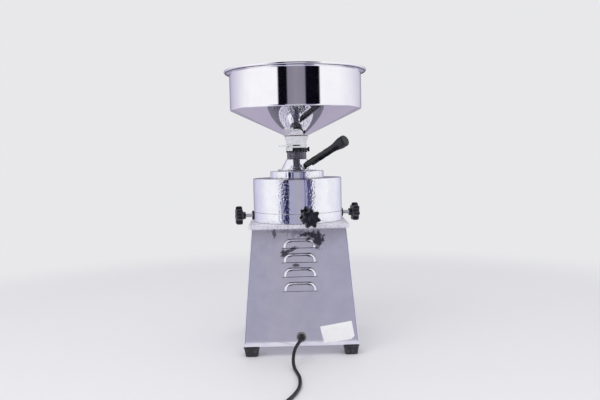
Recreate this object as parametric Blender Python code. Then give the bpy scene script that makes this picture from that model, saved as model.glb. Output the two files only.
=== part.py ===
# Tabletop stone flour mill: a tapered sheet-metal housing with its motor, a clamped grinding
# chamber, a screw-down adjuster with its lever, and a spun feed hopper.
# Metres, +Z up. The spout and the switch face +Y, the louvres and the cord -Y.
# The shaft axis stands behind the middle of the plan, so that the whole plan is centred.
# An azimuth is measured from -Y towards +X.

import math

import bmesh
import bpy
import numpy as np
from mathutils import Matrix, Vector

# Fits
FACE_GAP = 0.0003
SLIDE_GAP = 0.0003
RUNNING_GAP = 0.0006
SEAT_GAP = 0.001
FLARE_CLEARANCE = 0.0008
EDGE = 0.0008

# Facets
LARGE_SIDES = 32
MEDIUM_SIDES = 24
NECK_SIDES = 20
MOTOR_SIDES = 16
SMALL_SIDES = 12
BOLT_SIDES = 8
CORNER_STEPS = 2
LOUVRE_LAYERS = 3
LOUVRE_STEPS = 4
ARC_STEP = math.radians(17.0)
FINE_STEPS = 40

# Sheet-metal housing on four rubber feet
SHEET = 0.0012
HOUSING_BOTTOM = 0.232
HOUSING_TOP = 0.192
HOUSING_HEIGHT = 0.234
HOUSING_CORNER = 0.006
HOUSING_LIP = 0.016
FOOT_HEIGHT = 0.020
FOOT_TOP = 0.032
FOOT_BOTTOM = 0.025
FOOT_CORNER = 0.005
FOOT_BRIM = 0.004
FOOT_PITCH = 0.200
FOOT_SCREW_RECESS = 0.0055
FOOT_RECESS_DEPTH = 0.008
VENT_LENGTH = 0.050
VENT_WIDTH = 0.0035
VENT_PITCH = 0.016
VENTS = 6

# Pressed louvres in the rear face
LOUVRES = 4
LOUVRE_WIDTH = 0.0646
LOUVRE_HEIGHT = 0.0182
LOUVRE_CORNER = 0.0155
LOUVRE_LEAST_CORNER = 0.002
LOUVRE_DEPTH = 0.0050
LOUVRE_RISE = 0.0085
LOUVRE_PITCH = 0.0285
LOUVRES_BELOW_TOP = 0.1245
LOWEST_LOUVRE = HOUSING_HEIGHT - LOUVRES_BELOW_TOP

# Cast top plate
PLATE_SIDE = 0.203
PLATE_THICKNESS = 0.008
PLATE_CORNER = 0.004
PLATE_BORE_RADIUS = 0.024

# Grinding chamber: lower bowl with its spout, and upper cover
CHAMBER_RADIUS = 0.094
CHAMBER_WALL = 0.006
BOWL_HEIGHT = 0.0197
BOWL_FLOOR = 0.003
BOWL_FILLET = 0.0015
COVER_HEIGHT = 0.0707
COVER_TOP = 0.004
COVER_THICK_WALL = 0.012
COVER_THICK_HEIGHT = 0.008
COVER_SPIGOT = 0.0118
COVER_RIM = 0.0015
COVER_FILLET = 0.003
BOSS_RADIUS = 0.057
BOSS_HEIGHT = 0.0145
SPOUT_WIDTH = 0.046
SPOUT_OPENING = 0.0137
SPOUT_WALL = 0.0025
SPOUT_RUN = 0.012
SPOUT_KNEE = CHAMBER_RADIUS + SPOUT_RUN
SPOUT_REACH = 0.175
SPOUT_FALL = math.radians(26.0)

# Star knobs on clamp screws
CLAMP_AZIMUTHS = (math.radians(10.5), math.radians(100.0), math.radians(-80.0))
CLAMP_AXIS_HEIGHT = 0.0137
SCREW_RADIUS = 0.004
SCREW_CHAMFER = 0.0012
KNOB_STANDOFF = 0.0186
KNOB_START = CHAMBER_RADIUS + KNOB_STANDOFF
KNOB_LENGTH = 0.021
KNOB_RADIUS = 0.020
KNOB_VALLEY = 0.0145
KNOB_HUB_RADIUS = 0.0075
KNOB_HUB_LENGTH = 0.0065
KNOB_BORE_DEPTH = 0.014
KNOB_HUB_SPREAD = 1.12
KNOB_EDGE = 0.0015
KNOB_EDGE_SHARE = 0.95
KNOB_CROWN = 0.003
KNOB_CROWN_SHARE = 0.86
KNOB_POINTEDNESS = 1.2
KNOB_POINTS = 7
KNOB_STEPS_PER_POINT = 3

# Motor under the plate
SHAFT_RADIUS = 0.010
SHAFT_BELOW_BEARING = 0.034
BEARING_RADIUS = 0.0235
BEARING_WIDTH = 0.014
SHIELD_RADIUS = 0.076
SHIELD_PLATE = 0.006
SHIELD_SKIRT = 0.004
SHIELD_DEPTH = 0.027
BEARING_BOSS_WALL = 0.004
STATOR_RADIUS = 0.066
STATOR_LENGTH = 0.096
STATOR_BORE = 0.036
WINDING_OUTER = 0.058
WINDING_HEIGHT = 0.014
AIR_GAP = 0.001
END_RING_RADIUS = 0.031
END_RING_HEIGHT = 0.006
FAN_RADIUS = 0.058
FAN_DISC = 0.003
FAN_HEIGHT = 0.018
FAN_BLADES = 7
FAN_BLADE = 0.002
FAN_HUB_RADIUS = 0.016
MOTOR_BOLTS = 4
BOLT_RADIUS = 0.0025
BOLT_HEAD_RADIUS = 0.0045
BOLT_HEAD_HEIGHT = 0.004
BOLT_CIRCLE = 0.071
BOLT_IN_PLATE = 0.005
CAPACITOR_RADIUS = 0.0175
CAPACITOR_HEIGHT = 0.070
CAPACITOR_PLACE = 0.074
CAPACITOR_STUD = 0.004
CAPACITOR_STUD_HEIGHT = 0.006
CAPACITOR_EDGE = 0.002

# Stones
STONE_RADIUS = 0.0625
STONE_THICKNESS = 0.0247
STONE_GAP = 0.0006
LOWER_EYE_RADIUS = 0.014
UPPER_EYE_RADIUS = 0.024
CHEST_RADIUS = 0.034
LOWER_CHEST_DEPTH = 0.003
UPPER_CHEST_DEPTH = 0.006
FURROWS = 8
FURROW_WIDTH = 0.005
FURROW_DEPTH = 0.0018
FURROW_OFFSET = 0.016
FURROW_PHASE = 0.1
CARRIER_RADIUS = 0.060
CARRIER_DISC = 0.008
CARRIER_LIFT = 0.011
CARRIER_HUB_RADIUS = 0.018
CARRIER_FILLET = 0.003
PADDLES = 3
PADDLE_THICKNESS = 0.004
PADDLE_START = 0.025
PADDLE_REACH = 0.080
PADDLE_PHASE = 0.3
PADDLE_CLEARANCE = 0.0017
PADDLE_HEIGHT = 0.013
NUT_RADIUS = 0.017
NUT_RIM = 0.008
NUT_HEIGHT = 0.020
NUT_DOME = 0.004
NUT_CROWN_RADIUS = 0.0128
NUT_CROWN_FILLET = 0.006
NUT_CLEARANCE = 0.005
SEAL_RADIUS = 0.021
SEAL_HEIGHT = 0.006
SEAL_CHAMFER = 0.002
SEAL_LIP = 0.003
HOLDER_RADIUS = 0.060
HOLDER_THICKNESS = 0.006
HOLDER_BORE = 0.022
STONE_SCREWS = 3
STONE_SCREW_CIRCLE = 0.045
STONE_SCREW_PHASE = 0.35
STONE_SCREW_RADIUS = 0.003
STONE_SCREW_HEAD = 0.0055
STONE_SCREW_SINK = 0.004
STONE_SCREW_HEAD_HEIGHT = 0.003

# Screw-down adjuster and its lever
ADJUSTER_TRAVEL = 0.001
WASHER_THICKNESS = 0.0015
DRUM_RADIUS = 0.036
DRUM_DEPTH = 0.027
FEED_BORE = 0.016
RIM_RADIUS = 0.0405
RIM_HEIGHT = 0.002
RIM_EDGE = 0.0015
CONE_TOP_RADIUS = 0.0223
CONE_HEIGHT = 0.0205
TUBE_RADIUS = 0.0206
TUBE_BORE = 0.018
TUBE_HEIGHT = 0.024
LEVER_AZIMUTH = math.radians(45.5)
LEVER_RISE = math.radians(25.0)
LEVER_START = 0.0335
LEVER_HEIGHT = 0.0118
LUG_ROOT = 0.0216
LUG_REACH = 0.050
LUG_HALF_WIDTH = 0.0085
LUG_HEIGHT = 0.014
LUG_TAPER = 0.8
LUG_SLOPE = 0.003
LUG_CLEARANCE = 0.0006
ROD_RADIUS = 0.005
ROD_IN_CONE = 0.009
GRIP_LENGTH = 0.112
GRIP_RADIUS = 0.00785
GRIP_BULB_RADIUS = 0.01165
GRIP_BULB_START = 0.078
GRIP_BULB_FULL = 0.098
GRIP_BORE_DEPTH = 0.090
GRIP_START_FILLET = 0.0015
GRIP_NECK_FILLET = 0.020
GRIP_BULB_FILLET = 0.010
GRIP_END_FILLET = 0.004

# Plastic neck, its collar and its feed gate
NECK_SPIGOT = 0.016
NECK_BORE = 0.015
NECK_RADIUS = 0.0214
NECK_FLARE_RADIUS = 0.0268
NECK_HEIGHT = 0.0247
NECK_STRAIGHT_SHARE = 0.42
NECK_SWELLS = ((0.0010, 0.62), (0.0030, 0.83))
THROAT_RADIUS = 0.008
THROAT_TAPER = 0.0075
HOPPER_SEAT = 0.0080
GATE_HEIGHT = 0.0039
GATE_THICKNESS = 0.002
GATE_HALF_WIDTH = 0.0195
GATE_OPEN_EDGE = -0.0084
GATE_TAB_END = -0.038
GATE_TAB_HALF_WIDTH = 0.008
GATE_SHOULDER = 0.016
GATE_CORNER = 0.006
GATE_TAB_CORNER = 0.004
GATE_SLOT_END = 0.0087
COLLAR_THICKNESS = 0.0023
COLLAR_HEIGHT = 0.0060
COLLAR_START = math.radians(-22.0)
COLLAR_END = math.radians(202.0)
SKIRT_END_GAP = math.radians(1.5)
SKIRT_STEP = 0.0004
THUMB_SCREW_RADIUS = 0.002
THUMB_HEAD_RADIUS = 0.0047
THUMB_HEAD_LENGTH = 0.004

# Spun hopper
HOPPER_SPIGOT_RADIUS = 0.0195
HOPPER_CONE_FILLET = 0.018
HOPPER_CONE_BEND = 0.0160
HOPPER_CONE_SLOPE = math.radians(25.4)
HOPPER_RIM_RADIUS = 0.150
HOPPER_FLARE = 0.0112
HOPPER_RADIUS = HOPPER_RIM_RADIUS - HOPPER_FLARE
HOPPER_SHOULDER_FILLET = 0.006
HOPPER_WALL_HEIGHT = 0.0698
HOPPER_FLARE_FILLET = 0.010
HOPPER_FLARE_HEIGHT = 0.0083
HOPPER_BEAD_RADIUS = 0.0024
BEAD_LEAD = 0.95
BEAD_OPENING = math.radians(35.0)
BEAD_STEPS = 3

# Switch in the front face
SWITCH_HEIGHT = 0.052
SWITCH_WIDTH = 0.032
SWITCH_TALL = 0.026
SWITCH_BEZEL = 0.002
SWITCH_CORNER = 0.002
SLEEVE_WIDTH = 0.0276
SLEEVE_TALL = 0.0216
SLEEVE_DEPTH = 0.018
SLEEVE_WALL = 0.0015
SLEEVE_CORNER = 0.001
ROCKER_PIVOT_DEPTH = 0.0065
ROCKER_RADIUS = 0.0088
ROCKER_TILT = math.radians(9.0)
ROCKER_DISH = 0.0012
ROCKER_TOP = 0.0062
ROCKER_BACK = 0.0045
ROCKER_LOW_ANGLE = math.radians(-25.0)
ROCKER_HIGH_ANGLE = math.radians(38.0)
ROCKER_STEPS = 3

# Cord with its gland and plug
GLAND_HEIGHT = 0.0184
GLAND_FLANGE_RADIUS = 0.0098
GLAND_FLANGE = 0.003
GLAND_NECK_RADIUS = 0.0075
GLAND_FILLET = 0.0015
GLAND_TAIL = 0.010
BOOT_LENGTH = 0.024
BOOT_RADIUS = 0.0072
BOOT_TIP_RADIUS = 0.0048
CORD_DIAMETER = 0.0065
CORD_SPACING = 2.6
COIL_MIDDLE_RADIUS = 0.03575
COIL_TURNS_WIDE = 3
COIL_TURNS_HIGH = 2
COIL_SOFTNESS = 0.35
COIL_CENTRE = (-0.008, -0.455)
PLUG_FACE_RADIUS = 0.018
PLUG_RIM = 0.018
PLUG_LENGTH = 0.056
PLUG_WAIST_RADIUS = 0.010
PLUG_TIP_RADIUS = 0.0042
PLUG_BOOT_SWELL = 0.0018
PLUG_BOOT_SHARE = 0.38
PLUG_WAIST_SHARE = 0.42
PLUG_SHOULDER_SWELL = 0.002
PLUG_SHOULDER_SHARE = 0.60
PLUG_FILLET = 0.002
PLUG_PIN_RADIUS = 0.0024
PLUG_PIN_LENGTH = 0.019
PLUG_PIN_PITCH = 0.019
PLUG_PLACE = (0.078, -0.4975)

# Route of the free cord from the shaft axis: out of the boot, down to the surface, along it
# and into the coil; then from the coil to the plug.
LEAD_ROUTE = (
    (-0.00090, -0.15122, 0.04179),
    (-0.00372, -0.15786, 0.04182),
    (-0.00708, -0.16486, 0.04002),
    (-0.01081, -0.17088, 0.03635),
    (-0.01417, -0.17580, 0.03105),
    (-0.01645, -0.17964, 0.02443),
    (-0.01758, -0.18316, 0.01736),
    (-0.01787, -0.18839, 0.01135),
    (-0.01710, -0.19582, 0.00638),
    (-0.01538, -0.20622, 0.00342),
    (-0.01258, -0.22196, 0.00325),
    (-0.0081, -0.2510, 0.00325),
    (-0.0071, -0.2810, 0.00325),
    (-0.0098, -0.3105, 0.00325),
    (-0.0168, -0.3380, 0.00325),
    (-0.0270, -0.3640, 0.00325),
    (-0.0386, -0.3895, 0.00325),
    (-0.0468, -0.4105, 0.00325),
)
TAIL_ROUTE = (
    (0.0300, -0.4944, 0.0078),
    (0.0420, -0.4950, 0.0070),
    (0.0540, -0.4960, 0.0096),
    (0.0650, -0.4970, 0.0143),
)

# Heights that follow from the stack
HOUSING_BASE = FOOT_HEIGHT + FACE_GAP
HOUSING_LEAN = math.atan((HOUSING_BOTTOM - HOUSING_TOP) / 2 / HOUSING_HEIGHT)
PLATE_BASE = HOUSING_BASE + HOUSING_HEIGHT + FACE_GAP
BOWL_BASE = PLATE_BASE + PLATE_THICKNESS + FACE_GAP
SEAM = BOWL_BASE + BOWL_HEIGHT + FACE_GAP
COVER_CEILING = SEAM + COVER_HEIGHT - COVER_TOP
BOSS_TOP = SEAM + COVER_HEIGHT + BOSS_HEIGHT
CARRIER_BASE = BOWL_BASE + BOWL_FLOOR + CARRIER_LIFT
LOWER_STONE_BASE = CARRIER_BASE + CARRIER_DISC + FACE_GAP
UPPER_STONE_BASE = LOWER_STONE_BASE + STONE_THICKNESS + STONE_GAP
HOLDER_BASE = UPPER_STONE_BASE + STONE_THICKNESS + FACE_GAP
WASHER_BASE = BOSS_TOP + FACE_GAP
WASHER_BORE = DRUM_RADIUS + 2 * SLIDE_GAP
RIM_BASE = WASHER_BASE + WASHER_THICKNESS + FACE_GAP
DRUM_BASE = HOLDER_BASE + HOLDER_THICKNESS + FACE_GAP
TUBE_BASE = RIM_BASE + RIM_HEIGHT + CONE_HEIGHT
TUBE_TOP = TUBE_BASE + TUBE_HEIGHT
NECK_BASE = TUBE_TOP + FACE_GAP
HOPPER_BASE = NECK_BASE + HOPPER_SEAT + FACE_GAP
SCREW_LEVEL = BOWL_BASE + CLAMP_AXIS_HEIGHT
SHIELD_TOP = PLATE_BASE - FACE_GAP
UPPER_BEARING_BASE = SHIELD_TOP - BEARING_WIDTH - BEARING_BOSS_WALL
STATOR_TOP = SHIELD_TOP - SHIELD_DEPTH - FACE_GAP
STATOR_BASE = STATOR_TOP - STATOR_LENGTH
SHIELD_BASE = STATOR_BASE - FACE_GAP - SHIELD_DEPTH
LOWER_BEARING_BASE = SHIELD_BASE + BEARING_BOSS_WALL
SHAFT_BASE = LOWER_BEARING_BASE - SHAFT_BELOW_BEARING

AXIS_Y = (HOPPER_RIM_RADIUS - SPOUT_REACH) / 2


def clear_scene():
    for item in list(bpy.data.objects):
        bpy.data.objects.remove(item)


def material(name, colour, roughness, metallic=0.0):
    made = bpy.data.materials.new(name)
    made.use_nodes = True
    shader = made.node_tree.nodes["Principled BSDF"]
    shader.inputs["Base Color"].default_value = (*colour, 1.0)
    shader.inputs["Roughness"].default_value = roughness
    shader.inputs["Metallic"].default_value = metallic
    return made


def empty(name, parent=None, location=(0, 0, 0), rotation=(0, 0, 0)):
    made = bpy.data.objects.new(name, None)
    made.empty_display_size = 0.02
    bpy.context.collection.objects.link(made)
    made.parent = parent
    made.location = location
    made.rotation_euler = rotation
    return made


def finish(name, bm, surface, parent, location=(0, 0, 0), rotation=(0, 0, 0), smooth=True):
    bmesh.ops.remove_doubles(bm, verts=bm.verts, dist=1e-6)
    bmesh.ops.recalc_face_normals(bm, faces=bm.faces)
    mesh = bpy.data.meshes.new(name)
    bm.to_mesh(mesh)
    bm.free()
    if smooth:
        mesh.shade_smooth()
        mesh.set_sharp_from_angle(angle=math.radians(35))
    mesh.materials.append(surface)
    made = bpy.data.objects.new(name, mesh)
    bpy.context.collection.objects.link(made)
    made.parent = parent
    made.location = location
    made.rotation_euler = rotation
    return made


def rounded(points, steps=CORNER_STEPS):
    """Corners given as (a, b, radius) become arcs; a corner given as (a, b) stays sharp."""
    out = []
    count = len(points)
    for i, point in enumerate(points):
        if len(point) == 2 or point[2] <= 0:
            out.append((point[0], point[1]))
            continue
        here = Vector(point[:2])
        before = (Vector(points[i - 1][:2]) - here).normalized()
        after = (Vector(points[(i + 1) % count][:2]) - here).normalized()
        half = before.angle(after) / 2
        reach = point[2] / math.tan(half)
        centre = here + (before + after).normalized() * point[2] / math.sin(half)
        start = here + before * reach - centre
        turn = start.angle_signed(here + after * reach - centre)
        for k in range(steps + 1):
            arm = start.copy()
            arm.rotate(Matrix.Rotation(-turn * k / steps, 2))
            out.append(tuple(centre + arm))
    return out


def sheet_outline(path, thickness, bead=0.0):
    """A closed outline of even thickness along an open path, with a round bead on its end."""
    points = [Vector(p) for p in path]
    sides = []
    for i, point in enumerate(points):
        ahead = points[min(i + 1, len(points) - 1)] - points[max(i - 1, 0)]
        if 0 < i < len(points) - 1:
            one = (points[i] - points[i - 1]).normalized()
            two = (points[i + 1] - points[i]).normalized()
            ahead = one + two
            stretch = 1 / max(math.cos(one.angle(two) / 2), 0.5)
        else:
            stretch = 1.0
        ahead.normalize()
        sides.append(Vector((ahead.y, -ahead.x)) * thickness / 2 * stretch)
    right = [tuple(p + s) for p, s in zip(points, sides)]
    left = [tuple(p - s) for p, s in zip(points, sides)]
    end = []
    if bead:
        run = (points[-1] - points[-2]).normalized()
        centre = points[-1] + run * bead * BEAD_LEAD
        heading = math.atan2(run.y, run.x)
        sweep = 2 * math.pi - 2 * BEAD_OPENING
        for k in range(BEAD_STEPS + 1):
            angle = heading - math.pi + BEAD_OPENING + sweep * k / BEAD_STEPS
            end.append((centre.x + bead * math.cos(angle), centre.y + bead * math.sin(angle)))
    return right + end + left[::-1]


def turned_mesh(profile, sides, turn=2 * math.pi):
    """Spins a profile of (radius, height) points about Z; it is open only if it ends on the axis."""
    bm = bmesh.new()
    points = [bm.verts.new((r, 0, z)) for r, z in profile]
    edges = [bm.edges.new(pair) for pair in zip(points, points[1:])]
    if profile[0][0] > 1e-7 or profile[-1][0] > 1e-7:
        edges.append(bm.edges.new((points[-1], points[0])))
    bmesh.ops.spin(
        bm,
        geom=points + edges,
        cent=(0, 0, 0),
        axis=(0, 0, 1),
        dvec=(0, 0, 0),
        angle=turn,
        steps=sides,
        use_merge=True,
        use_duplicate=False,
    )
    return bm


def turned(name, profile, surface, parent, sides=MEDIUM_SIDES, **place):
    return finish(name, turned_mesh(profile, sides), surface, parent, **place)


def lofted_mesh(rings, closed=False):
    """Joins rings of as many points each; the ends are capped, or meet if closed."""
    bm = bmesh.new()
    loops = [[bm.verts.new(p) for p in ring] for ring in rings]
    pairs = list(zip(loops, loops[1:]))
    if closed:
        pairs.append((loops[-1], loops[0]))
    else:
        bm.faces.new(loops[0])
        bm.faces.new(loops[-1])
    for low, high in pairs:
        count = len(low)
        for i in range(count):
            bm.faces.new((low[i], low[(i + 1) % count], high[(i + 1) % count], high[i]))
    return bm


def lofted(name, rings, surface, parent, closed=False, **place):
    return finish(name, lofted_mesh(rings, closed), surface, parent, **place)


def block_mesh(low, high):
    bm = bmesh.new()
    bmesh.ops.create_cube(bm, size=1.0)
    middle = [(a + b) / 2 for a, b in zip(low, high)]
    size = [b - a for a, b in zip(low, high)]
    bmesh.ops.scale(bm, vec=size, verts=bm.verts)
    bmesh.ops.translate(bm, vec=middle, verts=bm.verts)
    return bm


def square_ring(half_x, half_y, corner, z, steps=CORNER_STEPS):
    corners = ((half_x, half_y), (-half_x, half_y), (-half_x, -half_y), (half_x, -half_y))
    return [(x, y, z) for x, y in rounded([(*c, corner) for c in corners], steps)]


def round_ring(radius, z, sides, centre=(0.0, 0.0)):
    angles = [2 * math.pi * i / sides for i in range(sides)]
    return [
        (centre[0] + radius * math.cos(a), centre[1] + radius * math.sin(a), z) for a in angles
    ]


def joined_mesh(meshes):
    """Several separate bodies in one mesh, for a cutter or a union."""
    bm = bmesh.new()
    for part in meshes:
        kept = bpy.data.meshes.new("shape")
        bmesh.ops.recalc_face_normals(part, faces=part.faces)
        part.to_mesh(kept)
        part.free()
        bm.from_mesh(kept)
        bpy.data.meshes.remove(kept)
    return bm


def moved(bm, matrix):
    bmesh.ops.transform(bm, matrix=matrix, verts=bm.verts)
    return bm


def combine(body, bm, parent, how, location=(0, 0, 0), rotation=(0, 0, 0)):
    """Adds or cuts a shape, which stays as a hidden wire object under the given parent."""
    tool = finish(
        f"{how.lower()}_{body.name}_{len(body.modifiers)}",
        bm,
        body.data.materials[0],
        parent,
        location,
        rotation,
    )
    tool.hide_render = True
    tool.display_type = "WIRE"
    step = body.modifiers.new(how.title(), "BOOLEAN")
    step.operation = how
    step.solver = "EXACT"
    step.object = tool


def cut(body, bm, parent, **place):
    combine(body, bm, parent, "DIFFERENCE", **place)


def add(body, bm, parent, **place):
    combine(body, bm, parent, "UNION", **place)


def around(count, radius, phase=0.0):
    """Places on a circle about the axis, as (x, y, angle)."""
    angles = [phase + 2 * math.pi * k / count for k in range(count)]
    return [(radius * math.cos(a), radius * math.sin(a), a) for a in angles]


def peg_mesh(radius, low, high, sides=SMALL_SIDES, x=0.0, y=0.0):
    return lofted_mesh([round_ring(radius, z, sides, (x, y)) for z in (low, high)])


def smooth_route(points, spacing):
    """A Catmull-Rom curve through the points, read every so far along it.

    The first and last steps are short, so that the end faces stay square to the ends.
    """
    line = np.array(points)
    line = np.vstack([2 * line[0] - line[1], line, 2 * line[-1] - line[-2]])
    fine = []
    for a, b, c, d in zip(line, line[1:], line[2:], line[3:]):
        t = np.linspace(0, 1, FINE_STEPS, endpoint=False)[:, None]
        fine.append(
            0.5
            * (2 * b + (c - a) * t + (2 * a - 5 * b + 4 * c - d) * t**2
               + (3 * b - a - 3 * c + d) * t**3)
        )
    fine = np.vstack([*fine, line[-2:-1]])
    along = np.concatenate([[0], np.cumsum(np.linalg.norm(np.diff(fine, axis=0), axis=1))])
    square = spacing / 4
    count = max(2, round(along[-1] / spacing) + 1)
    where = [0.0, *np.linspace(square, along[-1] - square, count), along[-1]]
    return np.stack([np.interp(where, along, fine[:, k]) for k in range(3)], axis=1)


def cord_tube(name, points, surface, parent):
    curve = bpy.data.curves.new(name, "CURVE")
    curve.dimensions = "3D"
    curve.bevel_depth = CORD_DIAMETER / 2
    curve.bevel_resolution = 2
    curve.use_fill_caps = True
    spline = curve.splines.new("POLY")
    spline.points.add(len(points) - 1)
    for place, point in zip(spline.points, points):
        place.co = (*point, 1.0)
    curve.materials.append(surface)
    made = bpy.data.objects.new(name, curve)
    bpy.context.collection.objects.link(made)
    made.parent = parent
    return made


# Housing, feet and top plate


def louvre_shape(depth, inset):
    """A D-shaped dome that stands on the face, with its flat side below."""
    rings = []
    for k in range(LOUVRE_LAYERS + 1):
        share = k / LOUVRE_LAYERS
        shrink = inset + LOUVRE_RISE * (1 - math.cos(share * math.pi / 2))
        out = depth * math.sin(share * math.pi / 2) if k else -SHEET / 2
        half = LOUVRE_WIDTH / 2 - shrink
        top = LOUVRE_HEIGHT - shrink
        corner = max(LOUVRE_CORNER - shrink, LOUVRE_LEAST_CORNER)
        outline = rounded(
            [(-half, 0.0), (half, 0.0), (half, top, corner), (-half, top, corner)],
            steps=LOUVRE_STEPS,
        )
        rings.append([(x, out, z) for x, z in outline])
    return lofted_mesh(rings)


def build_housing(axis, steel):
    half_low = HOUSING_BOTTOM / 2
    half_high = HOUSING_TOP / 2
    lean = math.tan(HOUSING_LEAN)
    wall = SHEET / math.cos(HOUSING_LEAN)
    inner_corner = HOUSING_CORNER - SHEET
    rings = [
        (half_low, HOUSING_CORNER, 0.0),
        (half_high, HOUSING_CORNER, HOUSING_HEIGHT),
        (half_high - HOUSING_LIP, inner_corner, HOUSING_HEIGHT),
        (half_high - HOUSING_LIP, inner_corner, HOUSING_HEIGHT - SHEET),
        (half_high - wall + lean * SHEET, inner_corner, HOUSING_HEIGHT - SHEET),
        (half_low - wall - lean * SHEET, inner_corner, SHEET),
        (half_low - 2 * HOUSING_LIP, inner_corner, SHEET),
        (half_low - 2 * HOUSING_LIP, inner_corner, 0.0),
    ]
    return lofted(
        "housing",
        [square_ring(h, h, c, HOUSING_BASE + z) for h, c, z in rings],
        steel,
        axis,
        closed=True,
    )


def press_louvres(housing, face):
    step = LOUVRE_PITCH / math.cos(HOUSING_LEAN)
    places = [(0, 0, LOWEST_LOUVRE + k * step) for k in range(LOUVRES)]
    outer = [moved(louvre_shape(LOUVRE_DEPTH, 0.0), Matrix.Translation(p)) for p in places]
    add(housing, joined_mesh(outer), face)
    inner = []
    for place in places:
        dome = louvre_shape(LOUVRE_DEPTH - SHEET, SHEET)
        for corner in dome.verts:
            if corner.co.z < EDGE:
                corner.co.z -= SHEET / 4
            if corner.co.y < 0:
                corner.co.y -= 2 * SHEET
        inner.append(moved(dome, Matrix.Translation(place)))
    cut(housing, joined_mesh(inner), face)


def build_bottom_plate(axis, steel):
    clear = SHEET / math.cos(HOUSING_LEAN) + math.tan(HOUSING_LEAN) * 3 * SHEET + SEAT_GAP
    half = HOUSING_BOTTOM / 2 - clear
    low = HOUSING_BASE + SHEET + FACE_GAP
    rings = [square_ring(half, half, HOUSING_CORNER, z) for z in (low, low + SHEET)]
    plate = lofted("bottom_plate", rings, steel, axis)
    slots = []
    for k in range(VENTS):
        y = (k - (VENTS - 1) / 2) * VENT_PITCH
        slots.append(
            block_mesh(
                (-VENT_LENGTH / 2, y - VENT_WIDTH / 2, low - SHEET),
                (VENT_LENGTH / 2, y + VENT_WIDTH / 2, low + 2 * SHEET),
            )
        )
    cut(plate, joined_mesh(slots), axis)
    return low + SHEET


def build_feet(axis, rubber):
    brim = FOOT_HEIGHT - FOOT_BRIM
    rings = [
        square_ring(FOOT_BOTTOM / 2, FOOT_BOTTOM / 2, FOOT_CORNER, 0.0),
        square_ring(FOOT_TOP / 2 - EDGE, FOOT_TOP / 2 - EDGE, FOOT_CORNER, brim),
        square_ring(FOOT_TOP / 2, FOOT_TOP / 2, FOOT_CORNER, brim + EDGE),
        square_ring(FOOT_TOP / 2, FOOT_TOP / 2, FOOT_CORNER, FOOT_HEIGHT),
    ]
    for k, (side_x, side_y) in enumerate(((-1, -1), (1, -1), (1, 1), (-1, 1)), 1):
        seat = empty(
            f"foot_seat_{k}", axis, (side_x * FOOT_PITCH / 2, side_y * FOOT_PITCH / 2, 0)
        )
        foot = lofted(f"foot_{k}", rings, rubber, seat)
        cut(foot, peg_mesh(FOOT_SCREW_RECESS, -EDGE, FOOT_RECESS_DEPTH, BOLT_SIDES), seat)


def build_top_plate(axis, cast):
    half = PLATE_SIDE / 2
    levels = (
        (half - EDGE, PLATE_BASE),
        (half, PLATE_BASE + EDGE),
        (half, PLATE_BASE + PLATE_THICKNESS - EDGE),
        (half - EDGE, PLATE_BASE + PLATE_THICKNESS),
    )
    rings = [square_ring(h, h, PLATE_CORNER, z) for h, z in levels]
    plate = lofted("top_plate", rings, cast, axis)
    low = PLATE_BASE - EDGE
    high = PLATE_BASE + PLATE_THICKNESS + EDGE
    holes = [peg_mesh(PLATE_BORE_RADIUS, low, high, NECK_SIDES)]
    for x, y, _ in around(MOTOR_BOLTS, BOLT_CIRCLE, math.pi / 4):
        holes.append(
            peg_mesh(
                BOLT_RADIUS + SLIDE_GAP,
                low,
                PLATE_BASE + BOLT_IN_PLATE + FACE_GAP,
                BOLT_SIDES,
                x,
                y,
            )
        )
    cut(plate, joined_mesh(holes), axis)


# Grinding chamber


def build_bowl(axis, polished):
    outer = CHAMBER_RADIUS
    inner = CHAMBER_RADIUS - CHAMBER_WALL
    profile = rounded(
        [
            (SEAL_RADIUS + FACE_GAP, 0.0),
            (outer, 0.0, EDGE),
            (outer, BOWL_HEIGHT),
            (inner, BOWL_HEIGHT),
            (inner, BOWL_FLOOR, BOWL_FILLET),
            (SEAL_RADIUS + FACE_GAP, BOWL_FLOOR),
        ],
        steps=1,
    )
    profile = [(r, BOWL_BASE + z) for r, z in profile]
    bowl = turned("lower_bowl", profile, polished, axis, LARGE_SIDES)
    add(bowl, spout_mesh(SPOUT_WALL, inner + EDGE, SPOUT_REACH), axis)
    cut(bowl, spout_mesh(0.0, inner - CHAMBER_WALL, SPOUT_REACH + CHAMBER_WALL), axis)
    for azimuth in CLAMP_AZIMUTHS:
        hole = peg_mesh(
            SCREW_RADIUS + SLIDE_GAP, inner - CHAMBER_WALL, outer + CHAMBER_WALL, SMALL_SIDES
        )
        cut(
            bowl,
            hole,
            axis,
            location=(0, 0, SCREW_LEVEL),
            rotation=(math.pi / 2, 0, azimuth),
        )


def spout_mesh(wall, start, reach):
    """A rectangular channel along +Y that turns down at the knee, as a solid."""
    half = SPOUT_WIDTH / 2 + wall
    low = BOWL_BASE + BOWL_FLOOR - wall
    high = BOWL_BASE + BOWL_FLOOR + SPOUT_OPENING + wall
    tall = high - low
    bend = math.tan(SPOUT_FALL / 2)
    tip = reach - tall * math.sin(SPOUT_FALL)
    drop = (tip - SPOUT_KNEE) * math.tan(SPOUT_FALL)
    shape = [
        (start, low),
        (SPOUT_KNEE - bend * wall, low),
        (tip, low - drop),
        (tip + tall * math.sin(SPOUT_FALL), low - drop + tall * math.cos(SPOUT_FALL)),
        (SPOUT_KNEE + bend * (tall - wall), high),
        (start, high),
    ]
    return lofted_mesh([[(x, y, z) for y, z in shape] for x in (-half, half)])


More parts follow.
